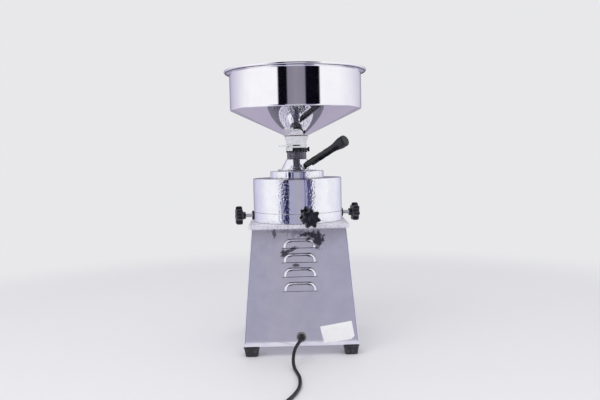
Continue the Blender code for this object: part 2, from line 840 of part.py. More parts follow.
def build_cover(seat, polished):
    outer = CHAMBER_RADIUS
    ceiling = COVER_CEILING
    top = SEAM + COVER_HEIGHT
    spigot_outer = CHAMBER_RADIUS - CHAMBER_WALL - SLIDE_GAP
    spigot_inner = CHAMBER_RADIUS - COVER_THICK_WALL
    thin = CHAMBER_RADIUS - CHAMBER_WALL - 2 * EDGE
    bore = DRUM_RADIUS + SLIDE_GAP
    profile = rounded(
        [
            (bore, BOSS_TOP),
            (bore, ceiling - COVER_TOP),
            (bore + COVER_TOP, ceiling - COVER_TOP),
            (bore + 2 * COVER_TOP, ceiling),
            (thin, ceiling, COVER_FILLET),
            (thin, SEAM + COVER_THICK_HEIGHT + COVER_THICK_WALL - CHAMBER_WALL),
            (spigot_inner, SEAM + COVER_THICK_HEIGHT),
            (spigot_inner, SEAM - COVER_SPIGOT),
            (spigot_outer, SEAM - COVER_SPIGOT),
            (spigot_outer, SEAM),
            (outer, SEAM),
            (outer, top, COVER_RIM),
            (BOSS_RADIUS, top),
            (BOSS_RADIUS, BOSS_TOP, COVER_RIM),
        ],
        steps=1,
    )
    cover = turned("upper_cover", profile, polished, seat, LARGE_SIDES)
    notch = block_mesh(
        (-SPOUT_WIDTH / 2 - SEAT_GAP, spigot_inner - CHAMBER_WALL, SEAM - 2 * COVER_SPIGOT),
        (SPOUT_WIDTH / 2 + SEAT_GAP, outer, BOWL_BASE + BOWL_FLOOR + SPOUT_OPENING + EDGE),
    )
    cut(cover, notch, seat)


# Clamp screws and star knobs


def star_ring(share, scale, z):
    """A ring between a circle, share 0, and the pointed star outline, share 1."""
    count = KNOB_POINTS * KNOB_STEPS_PER_POINT
    ring = []
    for i in range(count):
        angle = 2 * math.pi * i / count
        wave = (1 + math.cos(KNOB_POINTS * angle)) / 2
        star = KNOB_VALLEY + (KNOB_RADIUS - KNOB_VALLEY) * wave**KNOB_POINTEDNESS
        radius = scale * (share * star + (1 - share) * KNOB_HUB_RADIUS)
        ring.append((radius * math.cos(angle), radius * math.sin(angle), z))
    return ring


def build_clamps(axis, steel, bakelite):
    count = KNOB_POINTS * KNOB_STEPS_PER_POINT
    bore = SCREW_RADIUS + SLIDE_GAP
    tip = CHAMBER_RADIUS - CHAMBER_WALL
    rod_end = KNOB_START + KNOB_BORE_DEPTH - FACE_GAP
    rings = [
        round_ring(bore, KNOB_BORE_DEPTH, count),
        round_ring(bore, 0.0, count),
        star_ring(0.0, 1.0, 0.0),
        star_ring(0.0, KNOB_HUB_SPREAD, KNOB_HUB_LENGTH),
        star_ring(1.0, KNOB_EDGE_SHARE, KNOB_HUB_LENGTH + KNOB_EDGE),
        star_ring(1.0, 1.0, KNOB_LENGTH - KNOB_CROWN),
        star_ring(1.0, KNOB_CROWN_SHARE, KNOB_LENGTH),
    ]
    for k, azimuth in enumerate(CLAMP_AZIMUTHS, 1):
        line = empty(
            f"clamp_axis_{k}", axis, (0, 0, SCREW_LEVEL), (math.pi / 2, 0, azimuth)
        )
        profile = [
            (0.0, tip),
            (SCREW_RADIUS - SCREW_CHAMFER, tip),
            (SCREW_RADIUS, tip + SCREW_CHAMFER),
            (SCREW_RADIUS, rod_end),
            (0.0, rod_end),
        ]
        turned(f"clamp_screw_{k}", profile, steel, line, SMALL_SIDES)
        seat = empty(f"knob_seat_{k}", line, (0, 0, KNOB_START))
        lofted(f"star_knob_{k}", rings, bakelite, seat)


# Motor


def shield_profile():
    """A motor end shield from its face inwards: plate, skirt and bearing boss."""
    seat = BEARING_RADIUS + FACE_GAP
    boss = seat + BEARING_BOSS_WALL
    return [
        (SHAFT_RADIUS + SEAT_GAP, 0.0),
        (SHIELD_RADIUS, 0.0),
        (SHIELD_RADIUS, SHIELD_DEPTH),
        (STATOR_RADIUS - SHIELD_SKIRT, SHIELD_DEPTH),
        (STATOR_RADIUS - SHIELD_SKIRT, SHIELD_PLATE),
        (boss, SHIELD_PLATE),
        (boss, BEARING_BOSS_WALL + BEARING_WIDTH),
        (seat, BEARING_BOSS_WALL + BEARING_WIDTH),
        (seat, BEARING_BOSS_WALL - FACE_GAP),
        (SHAFT_RADIUS + SEAT_GAP, BEARING_BOSS_WALL - FACE_GAP),
    ]


def bearing_profile(base):
    inner = SHAFT_RADIUS + FACE_GAP
    top = base + BEARING_WIDTH
    return [(inner, base), (BEARING_RADIUS, base), (BEARING_RADIUS, top), (inner, top)]


def build_motor(axis, cast, iron, steel, black, floor):
    sides = MOTOR_SIDES
    upper = [(r, SHIELD_TOP - z) for r, z in shield_profile()]
    lower = [(r, SHIELD_BASE + z) for r, z in shield_profile()]
    for name, profile in (("upper_end_shield", upper), ("lower_end_shield", lower)):
        shield = turned(name, profile, cast, axis, sides)
        holes = [
            peg_mesh(BOLT_RADIUS + SLIDE_GAP, SHIELD_BASE - EDGE, SHIELD_TOP + EDGE, BOLT_SIDES, x, y)
            for x, y, _ in around(MOTOR_BOLTS, BOLT_CIRCLE, math.pi / 4)
        ]
        cut(shield, joined_mesh(holes), axis)
    turned("upper_bearing", bearing_profile(UPPER_BEARING_BASE), steel, axis, sides)
    turned("lower_bearing", bearing_profile(LOWER_BEARING_BASE), steel, axis, sides)
    stator = [
        (STATOR_BORE, STATOR_BASE - WINDING_HEIGHT),
        (WINDING_OUTER, STATOR_BASE - WINDING_HEIGHT),
        (WINDING_OUTER, STATOR_BASE),
        (STATOR_RADIUS, STATOR_BASE),
        (STATOR_RADIUS, STATOR_TOP),
        (WINDING_OUTER, STATOR_TOP),
        (WINDING_OUTER, STATOR_TOP + WINDING_HEIGHT),
        (STATOR_BORE, STATOR_TOP + WINDING_HEIGHT),
    ]
    turned("stator", stator, iron, axis, sides)
    for k, (x, y, _) in enumerate(around(MOTOR_BOLTS, BOLT_CIRCLE, math.pi / 4), 1):
        head = SHIELD_BASE - FACE_GAP
        end = PLATE_BASE + BOLT_IN_PLATE
        profile = [
            (0.0, head - BOLT_HEAD_HEIGHT),
            (BOLT_HEAD_RADIUS, head - BOLT_HEAD_HEIGHT),
            (BOLT_HEAD_RADIUS, head),
            (BOLT_RADIUS, head),
            (BOLT_RADIUS, end),
            (0.0, end),
        ]
        turned(f"motor_bolt_{k}", profile, steel, axis, BOLT_SIDES, location=(x, y, 0))
    can = floor + FACE_GAP
    profile = rounded(
        [
            (0.0, can),
            (CAPACITOR_RADIUS, can),
            (CAPACITOR_RADIUS, can + CAPACITOR_HEIGHT, CAPACITOR_EDGE),
            (CAPACITOR_STUD, can + CAPACITOR_HEIGHT),
            (CAPACITOR_STUD, can + CAPACITOR_HEIGHT + CAPACITOR_STUD_HEIGHT),
            (0.0, can + CAPACITOR_HEIGHT + CAPACITOR_STUD_HEIGHT),
        ],
        steps=1,
    )
    place = (CAPACITOR_PLACE, CAPACITOR_PLACE, 0)
    turned("run_capacitor", profile, black, axis, SMALL_SIDES, location=place)


def build_rotor(seat, steel, iron, plastic):
    shaft_top = LOWER_STONE_BASE + STONE_THICKNESS - LOWER_CHEST_DEPTH + NUT_HEIGHT - NUT_DOME
    shaft = rounded(
        [
            (0.0, SHAFT_BASE),
            (SHAFT_RADIUS, SHAFT_BASE, EDGE),
            (SHAFT_RADIUS, shaft_top, EDGE),
            (0.0, shaft_top),
        ],
        steps=1,
    )
    turned("motor_shaft", shaft, steel, seat, MOTOR_SIDES)
    hole = SHAFT_RADIUS + FACE_GAP
    core = STATOR_BORE - AIR_GAP
    low = STATOR_BASE + RUNNING_GAP
    high = STATOR_TOP - RUNNING_GAP
    rotor = [
        (hole, low - END_RING_HEIGHT),
        (END_RING_RADIUS, low - END_RING_HEIGHT),
        (END_RING_RADIUS, low),
        (core, low),
        (core, high),
        (END_RING_RADIUS, high),
        (END_RING_RADIUS, high + END_RING_HEIGHT),
        (hole, high + END_RING_HEIGHT),
    ]
    turned("rotor_core", rotor, iron, seat, MOTOR_SIDES)
    top = SHIELD_BASE - BOLT_HEAD_HEIGHT - 2 * SEAT_GAP
    disc = [
        (hole, top - FAN_HEIGHT),
        (FAN_HUB_RADIUS, top - FAN_HEIGHT),
        (FAN_HUB_RADIUS, top - FAN_DISC),
        (FAN_RADIUS, top - FAN_DISC),
        (FAN_RADIUS, top),
        (hole, top),
    ]
    fan = turned("cooling_fan", disc, plastic, seat, NECK_SIDES)
    blades = []
    for _, _, angle in around(FAN_BLADES, 1.0):
        blade = block_mesh(
            (FAN_HUB_RADIUS - EDGE, -FAN_BLADE / 2, top - FAN_HEIGHT + EDGE),
            (FAN_RADIUS - EDGE, FAN_BLADE / 2, top - FAN_DISC / 2),
        )
        blades.append(moved(blade, Matrix.Rotation(angle, 4, "Z")))
    add(fan, joined_mesh(blades), seat)


# Stones


def furrow_cutter(face, sign):
    """Straight furrows off the tangent, each from the chest out through the rim."""
    cutters = []
    for _, _, angle in around(FURROWS, 1.0, FURROW_PHASE):
        low = face - FURROW_DEPTH
        high = face + FURROW_DEPTH
        groove = block_mesh(
            (CHEST_RADIUS - FURROW_WIDTH, FURROW_OFFSET * sign - FURROW_WIDTH / 2, low),
            (STONE_RADIUS + FURROW_WIDTH, FURROW_OFFSET * sign + FURROW_WIDTH / 2, high),
        )
        cutters.append(moved(groove, Matrix.Rotation(angle, 4, "Z")))
    return joined_mesh(cutters)


def build_lower_stone(seat, stone, cast, steel):
    top = LOWER_STONE_BASE + STONE_THICKNESS
    chest = top - LOWER_CHEST_DEPTH
    profile = [
        (LOWER_EYE_RADIUS, LOWER_STONE_BASE),
        (STONE_RADIUS, LOWER_STONE_BASE),
        (STONE_RADIUS, top),
        (CHEST_RADIUS, top),
        (NUT_RADIUS + NUT_CLEARANCE, chest),
        (LOWER_EYE_RADIUS, chest),
    ]
    lower = turned("lower_stone", profile, stone, seat)
    cut(lower, furrow_cutter(top, 1), seat)
    hole = SHAFT_RADIUS + FACE_GAP
    disc_top = CARRIER_BASE + CARRIER_DISC
    hub_base = CARRIER_BASE - CARRIER_LIFT + SEAL_HEIGHT - BOWL_FLOOR + SEAT_GAP
    carrier_profile = [
        (hole, hub_base),
        (CARRIER_HUB_RADIUS, hub_base),
        (CARRIER_HUB_RADIUS, CARRIER_BASE - CARRIER_FILLET),
        (CARRIER_HUB_RADIUS + CARRIER_FILLET, CARRIER_BASE),
        (CARRIER_RADIUS, CARRIER_BASE),
        (CARRIER_RADIUS, disc_top),
        (hole, disc_top),
    ]
    carrier = turned("stone_carrier", carrier_profile, cast, seat)
    low = BOWL_BASE + BOWL_FLOOR + PADDLE_CLEARANCE
    blades = []
    for _, _, angle in around(PADDLES, 1.0, PADDLE_PHASE):
        blade = block_mesh(
            (PADDLE_START, -PADDLE_THICKNESS / 2, low),
            (PADDLE_REACH, PADDLE_THICKNESS / 2, low + PADDLE_HEIGHT),
        )
        blades.append(moved(blade, Matrix.Rotation(angle, 4, "Z")))
    add(carrier, joined_mesh(blades), seat)
    base = chest + FACE_GAP
    crown = base + NUT_HEIGHT
    blind = crown - NUT_DOME + FACE_GAP
    nut = rounded(
        [
            (0.0, blind),
            (hole, blind),
            (hole, base),
            (NUT_RADIUS, base),
            (NUT_RADIUS, base + NUT_RIM),
            (NUT_CROWN_RADIUS, crown, NUT_CROWN_FILLET),
            (0.0, crown),
        ],
        steps=2,
    )
    turned("stone_nut", nut, steel, seat, MOTOR_SIDES)


def build_seal(axis, rubber):
    inner = SHAFT_RADIUS + FACE_GAP
    profile = [
        (inner, BOWL_BASE + FACE_GAP),
        (SEAL_RADIUS, BOWL_BASE + FACE_GAP),
        (SEAL_RADIUS, BOWL_BASE + SEAL_HEIGHT - SEAL_CHAMFER),
        (inner + SEAL_LIP, BOWL_BASE + SEAL_HEIGHT),
        (inner, BOWL_BASE + SEAL_HEIGHT),
    ]
    turned("shaft_seal", profile, rubber, axis, MOTOR_SIDES)


def build_upper_stone(seat, stone, cast, steel):
    base = UPPER_STONE_BASE
    profile = [
        (UPPER_EYE_RADIUS, base + UPPER_CHEST_DEPTH),
        (CHEST_RADIUS, base),
        (STONE_RADIUS, base),
        (STONE_RADIUS, base + STONE_THICKNESS),
        (UPPER_EYE_RADIUS, base + STONE_THICKNESS),
    ]
    upper = turned("upper_stone", profile, stone, seat)
    cut(upper, furrow_cutter(base, -1), seat)
    holder_profile = [
        (HOLDER_BORE, HOLDER_BASE),
        (HOLDER_RADIUS, HOLDER_BASE),
        (HOLDER_RADIUS, HOLDER_BASE + HOLDER_THICKNESS),
        (HOLDER_BORE, HOLDER_BASE + HOLDER_THICKNESS),
    ]
    holder = turned("stone_holder", holder_profile, cast, seat)
    head = base + STONE_SCREW_SINK
    top = HOLDER_BASE + HOLDER_THICKNESS
    wells = []
    threads = []
    for k, (x, y, _) in enumerate(around(STONE_SCREWS, STONE_SCREW_CIRCLE, STONE_SCREW_PHASE), 1):
        shank = head + STONE_SCREW_HEAD_HEIGHT
        screw = [
            (0.0, head),
            (STONE_SCREW_HEAD, head),
            (STONE_SCREW_HEAD, shank),
            (STONE_SCREW_RADIUS, shank),
            (STONE_SCREW_RADIUS, top),
            (0.0, top),
        ]
        turned(f"stone_screw_{k}", screw, steel, seat, BOLT_SIDES, location=(x, y, 0))
        bore = STONE_SCREW_RADIUS + FACE_GAP
        well = STONE_SCREW_HEAD + FACE_GAP
        profile = [
            (0.0, base - EDGE),
            (well, base - EDGE),
            (well, shank + FACE_GAP),
            (bore, shank + FACE_GAP),
            (bore, top + EDGE),
            (0.0, top + EDGE),
        ]
        well_mesh = turned_mesh(profile, BOLT_SIDES)
        bmesh.ops.remove_doubles(well_mesh, verts=well_mesh.verts, dist=1e-6)
        wells.append(moved(well_mesh, Matrix.Translation((x, y, 0))))
        threads.append(peg_mesh(bore, HOLDER_BASE - EDGE, top + EDGE, BOLT_SIDES, x, y))
    cut(upper, joined_mesh(wells), seat)
    cut(holder, joined_mesh(threads), seat)


# Middle line of the hopper's sheet, which the neck also follows


def hopper_path():
    spigot = HOPPER_SPIGOT_RADIUS - SHEET / 2
    wall = HOPPER_RADIUS - SHEET / 2
    corner = HOPPER_BASE - FACE_GAP + HOPPER_CONE_BEND
    shoulder = corner + (wall - spigot) * math.tan(HOPPER_CONE_SLOPE)
    flare = shoulder + HOPPER_WALL_HEIGHT
    reach = HOPPER_RIM_RADIUS - 2 * HOPPER_BEAD_RADIUS
    return rounded(
        [
            (spigot, HOPPER_BASE),
            (spigot, corner, HOPPER_CONE_FILLET),
            (wall, shoulder, HOPPER_SHOULDER_FILLET),
            (wall, flare, HOPPER_FLARE_FILLET),
            (reach, flare + HOPPER_FLARE_HEIGHT),
        ]
    )


# Adjuster, lever and neck


def build_adjuster(seat, polished, steel, bakelite):
    top = TUBE_TOP
    neck_seat = NECK_BASE - NECK_SPIGOT - FACE_GAP
    profile = rounded(
        [
            (FEED_BORE, DRUM_BASE),
            (DRUM_RADIUS, DRUM_BASE),
            (DRUM_RADIUS, RIM_BASE),
            (RIM_RADIUS, RIM_BASE, EDGE),
            (RIM_RADIUS, RIM_BASE + RIM_HEIGHT, RIM_EDGE),
            (CONE_TOP_RADIUS, TUBE_BASE, EDGE),
            (TUBE_RADIUS, TUBE_BASE),
            (TUBE_RADIUS, top, EDGE),
            (TUBE_BORE, top),
            (TUBE_BORE, neck_seat),
            (FEED_BORE, neck_seat),
        ],
        steps=1,
    )
    adjuster = turned("adjuster", profile, polished, seat)
    turn = LEVER_AZIMUTH - math.pi / 2
    lug = block_mesh(
        (LUG_ROOT, -LUG_HALF_WIDTH, RIM_BASE + FACE_GAP),
        (LUG_REACH, LUG_HALF_WIDTH, RIM_BASE + LUG_HEIGHT),
    )
    for corner in lug.verts:
        if corner.co.z > RIM_BASE + LUG_HEIGHT / 2:
            corner.co.y *= LUG_TAPER
            corner.co.x -= LUG_SLOPE if corner.co.x > LUG_ROOT else 0.0
    add(adjuster, lug, seat, rotation=(0, 0, turn))
    lever = empty(
        "lever_axis",
        seat,
        (
            LEVER_START * math.sin(LEVER_AZIMUTH),
            -LEVER_START * math.cos(LEVER_AZIMUTH),
            RIM_BASE + LEVER_HEIGHT,
        ),
        (0, math.pi / 2 - LEVER_RISE, turn),
    )
    cradle = peg_mesh(GRIP_RADIUS + LUG_CLEARANCE, -SLIDE_GAP, GRIP_LENGTH, MOTOR_SIDES)
    cut(adjuster, cradle, lever)
    cut(
        adjuster,
        peg_mesh(ROD_RADIUS + FACE_GAP, -ROD_IN_CONE - FACE_GAP, ROD_RADIUS, SMALL_SIDES),
        lever,
    )
    rod_end = GRIP_BORE_DEPTH - FACE_GAP
    rod = [
        (0.0, -ROD_IN_CONE),
        (ROD_RADIUS, -ROD_IN_CONE),
        (ROD_RADIUS, rod_end),
        (0.0, rod_end),
    ]
    turned("lever_rod", rod, steel, lever, SMALL_SIDES)
    bore = ROD_RADIUS + FACE_GAP
    grip = rounded(
        [
            (0.0, GRIP_BORE_DEPTH),
            (bore, GRIP_BORE_DEPTH),
            (bore, 0.0),
            (GRIP_RADIUS, 0.0, GRIP_START_FILLET),
            (GRIP_RADIUS, GRIP_BULB_START, GRIP_NECK_FILLET),
            (GRIP_BULB_RADIUS, GRIP_BULB_FULL, GRIP_BULB_FILLET),
            (GRIP_BULB_RADIUS, GRIP_LENGTH, GRIP_END_FILLET),
            (0.0, GRIP_LENGTH),
        ]
    )
    turned("lever_grip", grip, bakelite, lever, MOTOR_SIDES)


def arc_mesh(inner, outer, low, high, start, end):
    """Part of a ring between two azimuths."""
    rings = []
    steps = math.ceil((end - start) / ARC_STEP)
    for k in range(steps + 1):
        azimuth = start + (end - start) * k / steps
        out = (math.sin(azimuth), -math.cos(azimuth))
        corners = ((inner, low), (outer, low), (outer, high), (inner, high))
        rings.append([(r * out[0], r * out[1], z) for r, z in corners])
    return lofted_mesh(rings)


def build_neck(seat, plastic, black):
    throat = GATE_HEIGHT + GATE_THICKNESS / 2
    spigot = TUBE_BORE - SLIDE_GAP
    path = hopper_path()
    outline = sheet_outline(path, SHEET + 2 * FLARE_CLEARANCE)
    under = outline[1 : len(path)]
    top = NECK_BASE + NECK_HEIGHT
    below = [(r, z - NECK_BASE) for r, z in under if z < top]
    end = np.interp(top, [z for _, z in under], [r for r, _ in under])
    flare = [(float(end), NECK_HEIGHT), *below[::-1]]
    profile = [
        (NECK_BORE, -NECK_SPIGOT),
        (spigot, -NECK_SPIGOT),
        (spigot, 0.0),
        (NECK_RADIUS, 0.0),
        (NECK_RADIUS, NECK_HEIGHT * NECK_STRAIGHT_SHARE),
        *[(NECK_RADIUS + swell, NECK_HEIGHT * share) for swell, share in NECK_SWELLS],
        (NECK_FLARE_RADIUS, NECK_HEIGHT),
        *flare,
        (flare[-1][0], HOPPER_SEAT),
        (HOPPER_SPIGOT_RADIUS - 2 * SHEET, HOPPER_SEAT),
        (THROAT_RADIUS, throat + GATE_THICKNESS / 2 + EDGE),
        (THROAT_RADIUS, throat - GATE_THICKNESS / 2 - EDGE),
        (NECK_BORE, throat - THROAT_TAPER),
    ]
    profile = [(r, NECK_BASE + z) for r, z in profile]
    neck = turned("hopper_neck", profile, plastic, seat, NECK_SIDES)
    collar_inner = TUBE_RADIUS + SLIDE_GAP
    collar_outer = collar_inner + COLLAR_THICKNESS
    collar_low = NECK_BASE - FACE_GAP - COLLAR_HEIGHT
    skirt = arc_mesh(
        collar_inner,
        collar_outer - SKIRT_STEP,
        collar_low,
        NECK_BASE + EDGE,
        COLLAR_END + SKIRT_END_GAP,
        COLLAR_START + 2 * math.pi - SKIRT_END_GAP,
    )
    add(neck, skirt, seat)
    slot = block_mesh(
        (-2 * NECK_RADIUS, -2 * NECK_RADIUS, NECK_BASE + GATE_HEIGHT - SLIDE_GAP),
        (
            GATE_SLOT_END,
            2 * NECK_RADIUS,
            NECK_BASE + GATE_HEIGHT + GATE_THICKNESS + SLIDE_GAP,
        ),
    )
    cut(neck, slot, seat)
    collar = finish(
        "lock_collar",
        arc_mesh(
            collar_inner,
            collar_outer,
            collar_low,
            NECK_BASE - FACE_GAP,
            COLLAR_START,
            COLLAR_END,
        ),
        black,
        seat,
    )
    screw_level = collar_low + COLLAR_HEIGHT / 2
    line = empty("thumb_screw_axis", seat, (0, 0, screw_level), (0, math.pi / 2, 0))
    bore = THUMB_SCREW_RADIUS + FACE_GAP
    cut(collar, peg_mesh(bore, collar_inner - EDGE, collar_outer + EDGE, BOLT_SIDES), line)
    head = collar_outer + FACE_GAP
    end = head + THUMB_HEAD_LENGTH
    screw = rounded(
        [
            (0.0, collar_inner),
            (THUMB_SCREW_RADIUS, collar_inner),
            (THUMB_SCREW_RADIUS, head),
            (THUMB_HEAD_RADIUS, head, EDGE),
            (THUMB_HEAD_RADIUS, end, EDGE),
            (0.0, end),
        ],
        steps=1,
    )
    turned("thumb_screw", screw, black, line, BOLT_SIDES)


def build_gate(seat, plastic):
    low = NECK_BASE + GATE_HEIGHT
    shoulder = GATE_OPEN_EDGE - GATE_SHOULDER
    outline = rounded(
        [
            (GATE_OPEN_EDGE, -GATE_HALF_WIDTH),
            (GATE_OPEN_EDGE, GATE_HALF_WIDTH),
            (shoulder, GATE_HALF_WIDTH, GATE_CORNER),
            (GATE_TAB_END, GATE_TAB_HALF_WIDTH, GATE_TAB_CORNER),
            (GATE_TAB_END, -GATE_TAB_HALF_WIDTH, GATE_TAB_CORNER),
            (shoulder, -GATE_HALF_WIDTH, GATE_CORNER),
        ]
    )
    rings = [[(x, y, z) for x, y in outline] for z in (low, low + GATE_THICKNESS)]
    lofted("feed_gate", rings, plastic, seat)


# Hopper


def build_hopper(seat, polished):
    profile = sheet_outline(hopper_path(), SHEET, HOPPER_BEAD_RADIUS)
    over = max(r for r, _ in profile) - HOPPER_RIM_RADIUS
    edge = HOPPER_RIM_RADIUS - 2 * HOPPER_BEAD_RADIUS
    profile = [(r - over if r > edge else r, z) for r, z in profile]
    turned("hopper", profile, polished, seat, LARGE_SIDES)


# Switch


def build_switch(housing, face, black):
    across = SLEEVE_WIDTH / 2 + SLIDE_GAP
    tall = SLEEVE_TALL / 2 + SLIDE_GAP
    opening = block_mesh(
        (-across, -SLEEVE_DEPTH, SWITCH_HEIGHT - tall),
        (across, SLEEVE_DEPTH, SWITCH_HEIGHT + tall),
    )
    cut(housing, opening, face)
    seat = empty("switch_seat", face, (0, 0, SWITCH_HEIGHT), (-math.pi / 2, 0, 0))
    outer = (SWITCH_WIDTH / 2, SWITCH_TALL / 2)
    sleeve = (SLEEVE_WIDTH / 2, SLEEVE_TALL / 2)
    pocket = (sleeve[0] - SLEEVE_WALL, sleeve[1] - SLEEVE_WALL)
    back = -SLEEVE_DEPTH
    levels = (
        (*pocket, EDGE, back + SLEEVE_WALL),
        (*pocket, EDGE, SWITCH_BEZEL),
        (outer[0] - EDGE, outer[1] - EDGE, SWITCH_CORNER, SWITCH_BEZEL),
        (*outer, SWITCH_CORNER, SWITCH_BEZEL - EDGE),
        (*outer, SWITCH_CORNER, FACE_GAP),
        (*sleeve, SLEEVE_CORNER, FACE_GAP),
        (*sleeve, SLEEVE_CORNER, back),
    )
    rings = [square_ring(x, y, c, z) for x, y, c, z in levels]
    lofted("switch_frame", rings, black, seat)
    pivot = empty(
        "rocker_axis", seat, (0, 0, SWITCH_BEZEL - ROCKER_PIVOT_DEPTH), (ROCKER_TILT, 0, 0)
    )
    half = SLEEVE_WIDTH / 2 - SLEEVE_WALL - SLIDE_GAP
    sweep = ROCKER_HIGH_ANGLE - ROCKER_LOW_ANGLE
    outline = []
    for k in range(ROCKER_STEPS + 1):
        angle = ROCKER_LOW_ANGLE + sweep * k / ROCKER_STEPS
        outline.append((ROCKER_RADIUS * math.cos(angle), ROCKER_RADIUS * math.sin(angle)))
    outline.append((0.0, ROCKER_TOP - ROCKER_DISH))
    outline += [(-y, z) for y, z in outline[ROCKER_STEPS::-1]]
    outline.append((0.0, -ROCKER_BACK))
    rings = [[(x, y, z) for y, z in outline] for x in (-half, half)]
    lofted("rocker", rings, black, pivot)


# Cord, gland and plug


def build_gland(housing, face, rubber):
    hole = GLAND_NECK_RADIUS + FACE_GAP
    seat = empty("gland_seat", face, (0, 0, GLAND_HEIGHT), (-math.pi / 2, 0, 0))
    cut(housing, peg_mesh(hole, -GLAND_TAIL, GLAND_TAIL, SMALL_SIDES), seat)
    profile = rounded(
        [
            (0.0, -GLAND_TAIL),
            (GLAND_NECK_RADIUS, -GLAND_TAIL, EDGE),
            (GLAND_NECK_RADIUS, FACE_GAP),
            (GLAND_FLANGE_RADIUS, FACE_GAP, EDGE),
            (GLAND_FLANGE_RADIUS, FACE_GAP + GLAND_FLANGE, GLAND_FILLET),
            (BOOT_RADIUS, FACE_GAP + GLAND_FLANGE),
            (BOOT_TIP_RADIUS, BOOT_LENGTH, EDGE),
            (0.0, BOOT_LENGTH),
        ],
        steps=1,
    )
    turned("cord_gland", profile, rubber, seat, SMALL_SIDES)


def build_cord(axis, rubber):
    lean = HOUSING_LEAN
    base_y = -HOUSING_BOTTOM / 2 + GLAND_HEIGHT * math.sin(lean)
    base_z = HOUSING_BASE + GLAND_HEIGHT * math.cos(lean)
    straight = [
        (0.0, base_y - out * math.cos(lean), base_z + out * math.sin(lean))
        for out in (BOOT_LENGTH + 1.5 * FACE_GAP, BOOT_LENGTH + CORD_DIAMETER)
    ]
    turns_radius = COIL_MIDDLE_RADIUS + CORD_DIAMETER
    ring_outer = COIL_MIDDLE_RADIUS + COIL_TURNS_WIDE * CORD_DIAMETER / 2
    ends_clear = 3 * FACE_GAP
    beside = math.sqrt(ring_outer**2 - (turns_radius - CORD_DIAMETER / 2) ** 2) + ends_clear
    entry = (COIL_CENTRE[0] - turns_radius, COIL_CENTRE[1] + beside, CORD_DIAMETER / 2)
    lead = smooth_route([*straight, *LEAD_ROUTE, entry], CORD_SPACING * CORD_DIAMETER)
    cord_tube("cord_lead", lead, rubber, axis)
    coil_inner = COIL_MIDDLE_RADIUS - COIL_TURNS_WIDE * CORD_DIAMETER / 2
    stack = CORD_DIAMETER * (1 + (COIL_TURNS_HIGH - 1) * math.sqrt(3) / 2)
    soft = CORD_DIAMETER * COIL_SOFTNESS
    profile = [
        (coil_inner + soft, 0.0),
        (ring_outer - soft, 0.0),
        (ring_outer, soft),
        (ring_outer, CORD_DIAMETER - soft),
        (ring_outer - CORD_DIAMETER / 2, stack),
        (coil_inner + CORD_DIAMETER / 2, stack),
        (coil_inner, CORD_DIAMETER - soft),
        (coil_inner, soft),
    ]
    turned("cord_coil", profile, rubber, axis, NECK_SIDES, location=(*COIL_CENTRE, 0))
    plug_z = PLUG_FACE_RADIUS + FACE_GAP
    plug = empty("plug_seat", axis, (*PLUG_PLACE, plug_z), (0, math.pi / 2, 0))
    profile = rounded(
        [
            (0.0, 0.0),
            (PLUG_TIP_RADIUS, 0.0),
            (PLUG_TIP_RADIUS + PLUG_BOOT_SWELL, PLUG_LENGTH * PLUG_BOOT_SHARE),
            (PLUG_WAIST_RADIUS, PLUG_LENGTH * PLUG_WAIST_SHARE, PLUG_FILLET),
            (PLUG_WAIST_RADIUS + PLUG_SHOULDER_SWELL, PLUG_LENGTH * PLUG_SHOULDER_SHARE),
            (PLUG_FACE_RADIUS, PLUG_LENGTH - PLUG_RIM, PLUG_FILLET),
            (PLUG_FACE_RADIUS, PLUG_LENGTH, EDGE),
            (0.0, PLUG_LENGTH),
        ],
        steps=1,
    )
    body = turned("plug", profile, rubber, plug, MOTOR_SIDES)
    pins = [
        peg_mesh(
            PLUG_PIN_RADIUS,
            PLUG_LENGTH - 2 * EDGE,
            PLUG_LENGTH + PLUG_PIN_LENGTH,
            BOLT_SIDES,
            0.0,
            side * PLUG_PIN_PITCH / 2,
        )
        for side in (-1, 1)
    ]
    add(body, joined_mesh(pins), plug)
    top_outer = ring_outer - CORD_DIAMETER / 4
    above = math.sqrt(top_outer**2 - (turns_radius - CORD_DIAMETER) ** 2) + FACE_GAP
    tail_start = (
        COIL_CENTRE[0] + above,
        COIL_CENTRE[1] - turns_radius + CORD_DIAMETER / 2,
        CORD_DIAMETER / 2 * (1 + math.sqrt(3)),
    )
    tail_ends = [
        (PLUG_PLACE[0] - out, PLUG_PLACE[1], plug_z) for out in (CORD_DIAMETER, 1.5 * FACE_GAP)
    ]
    tail = smooth_route([tail_start, *TAIL_ROUTE, *tail_ends], CORD_SPACING * CORD_DIAMETER)
    cord_tube("cord_tail", tail, rubber, axis)


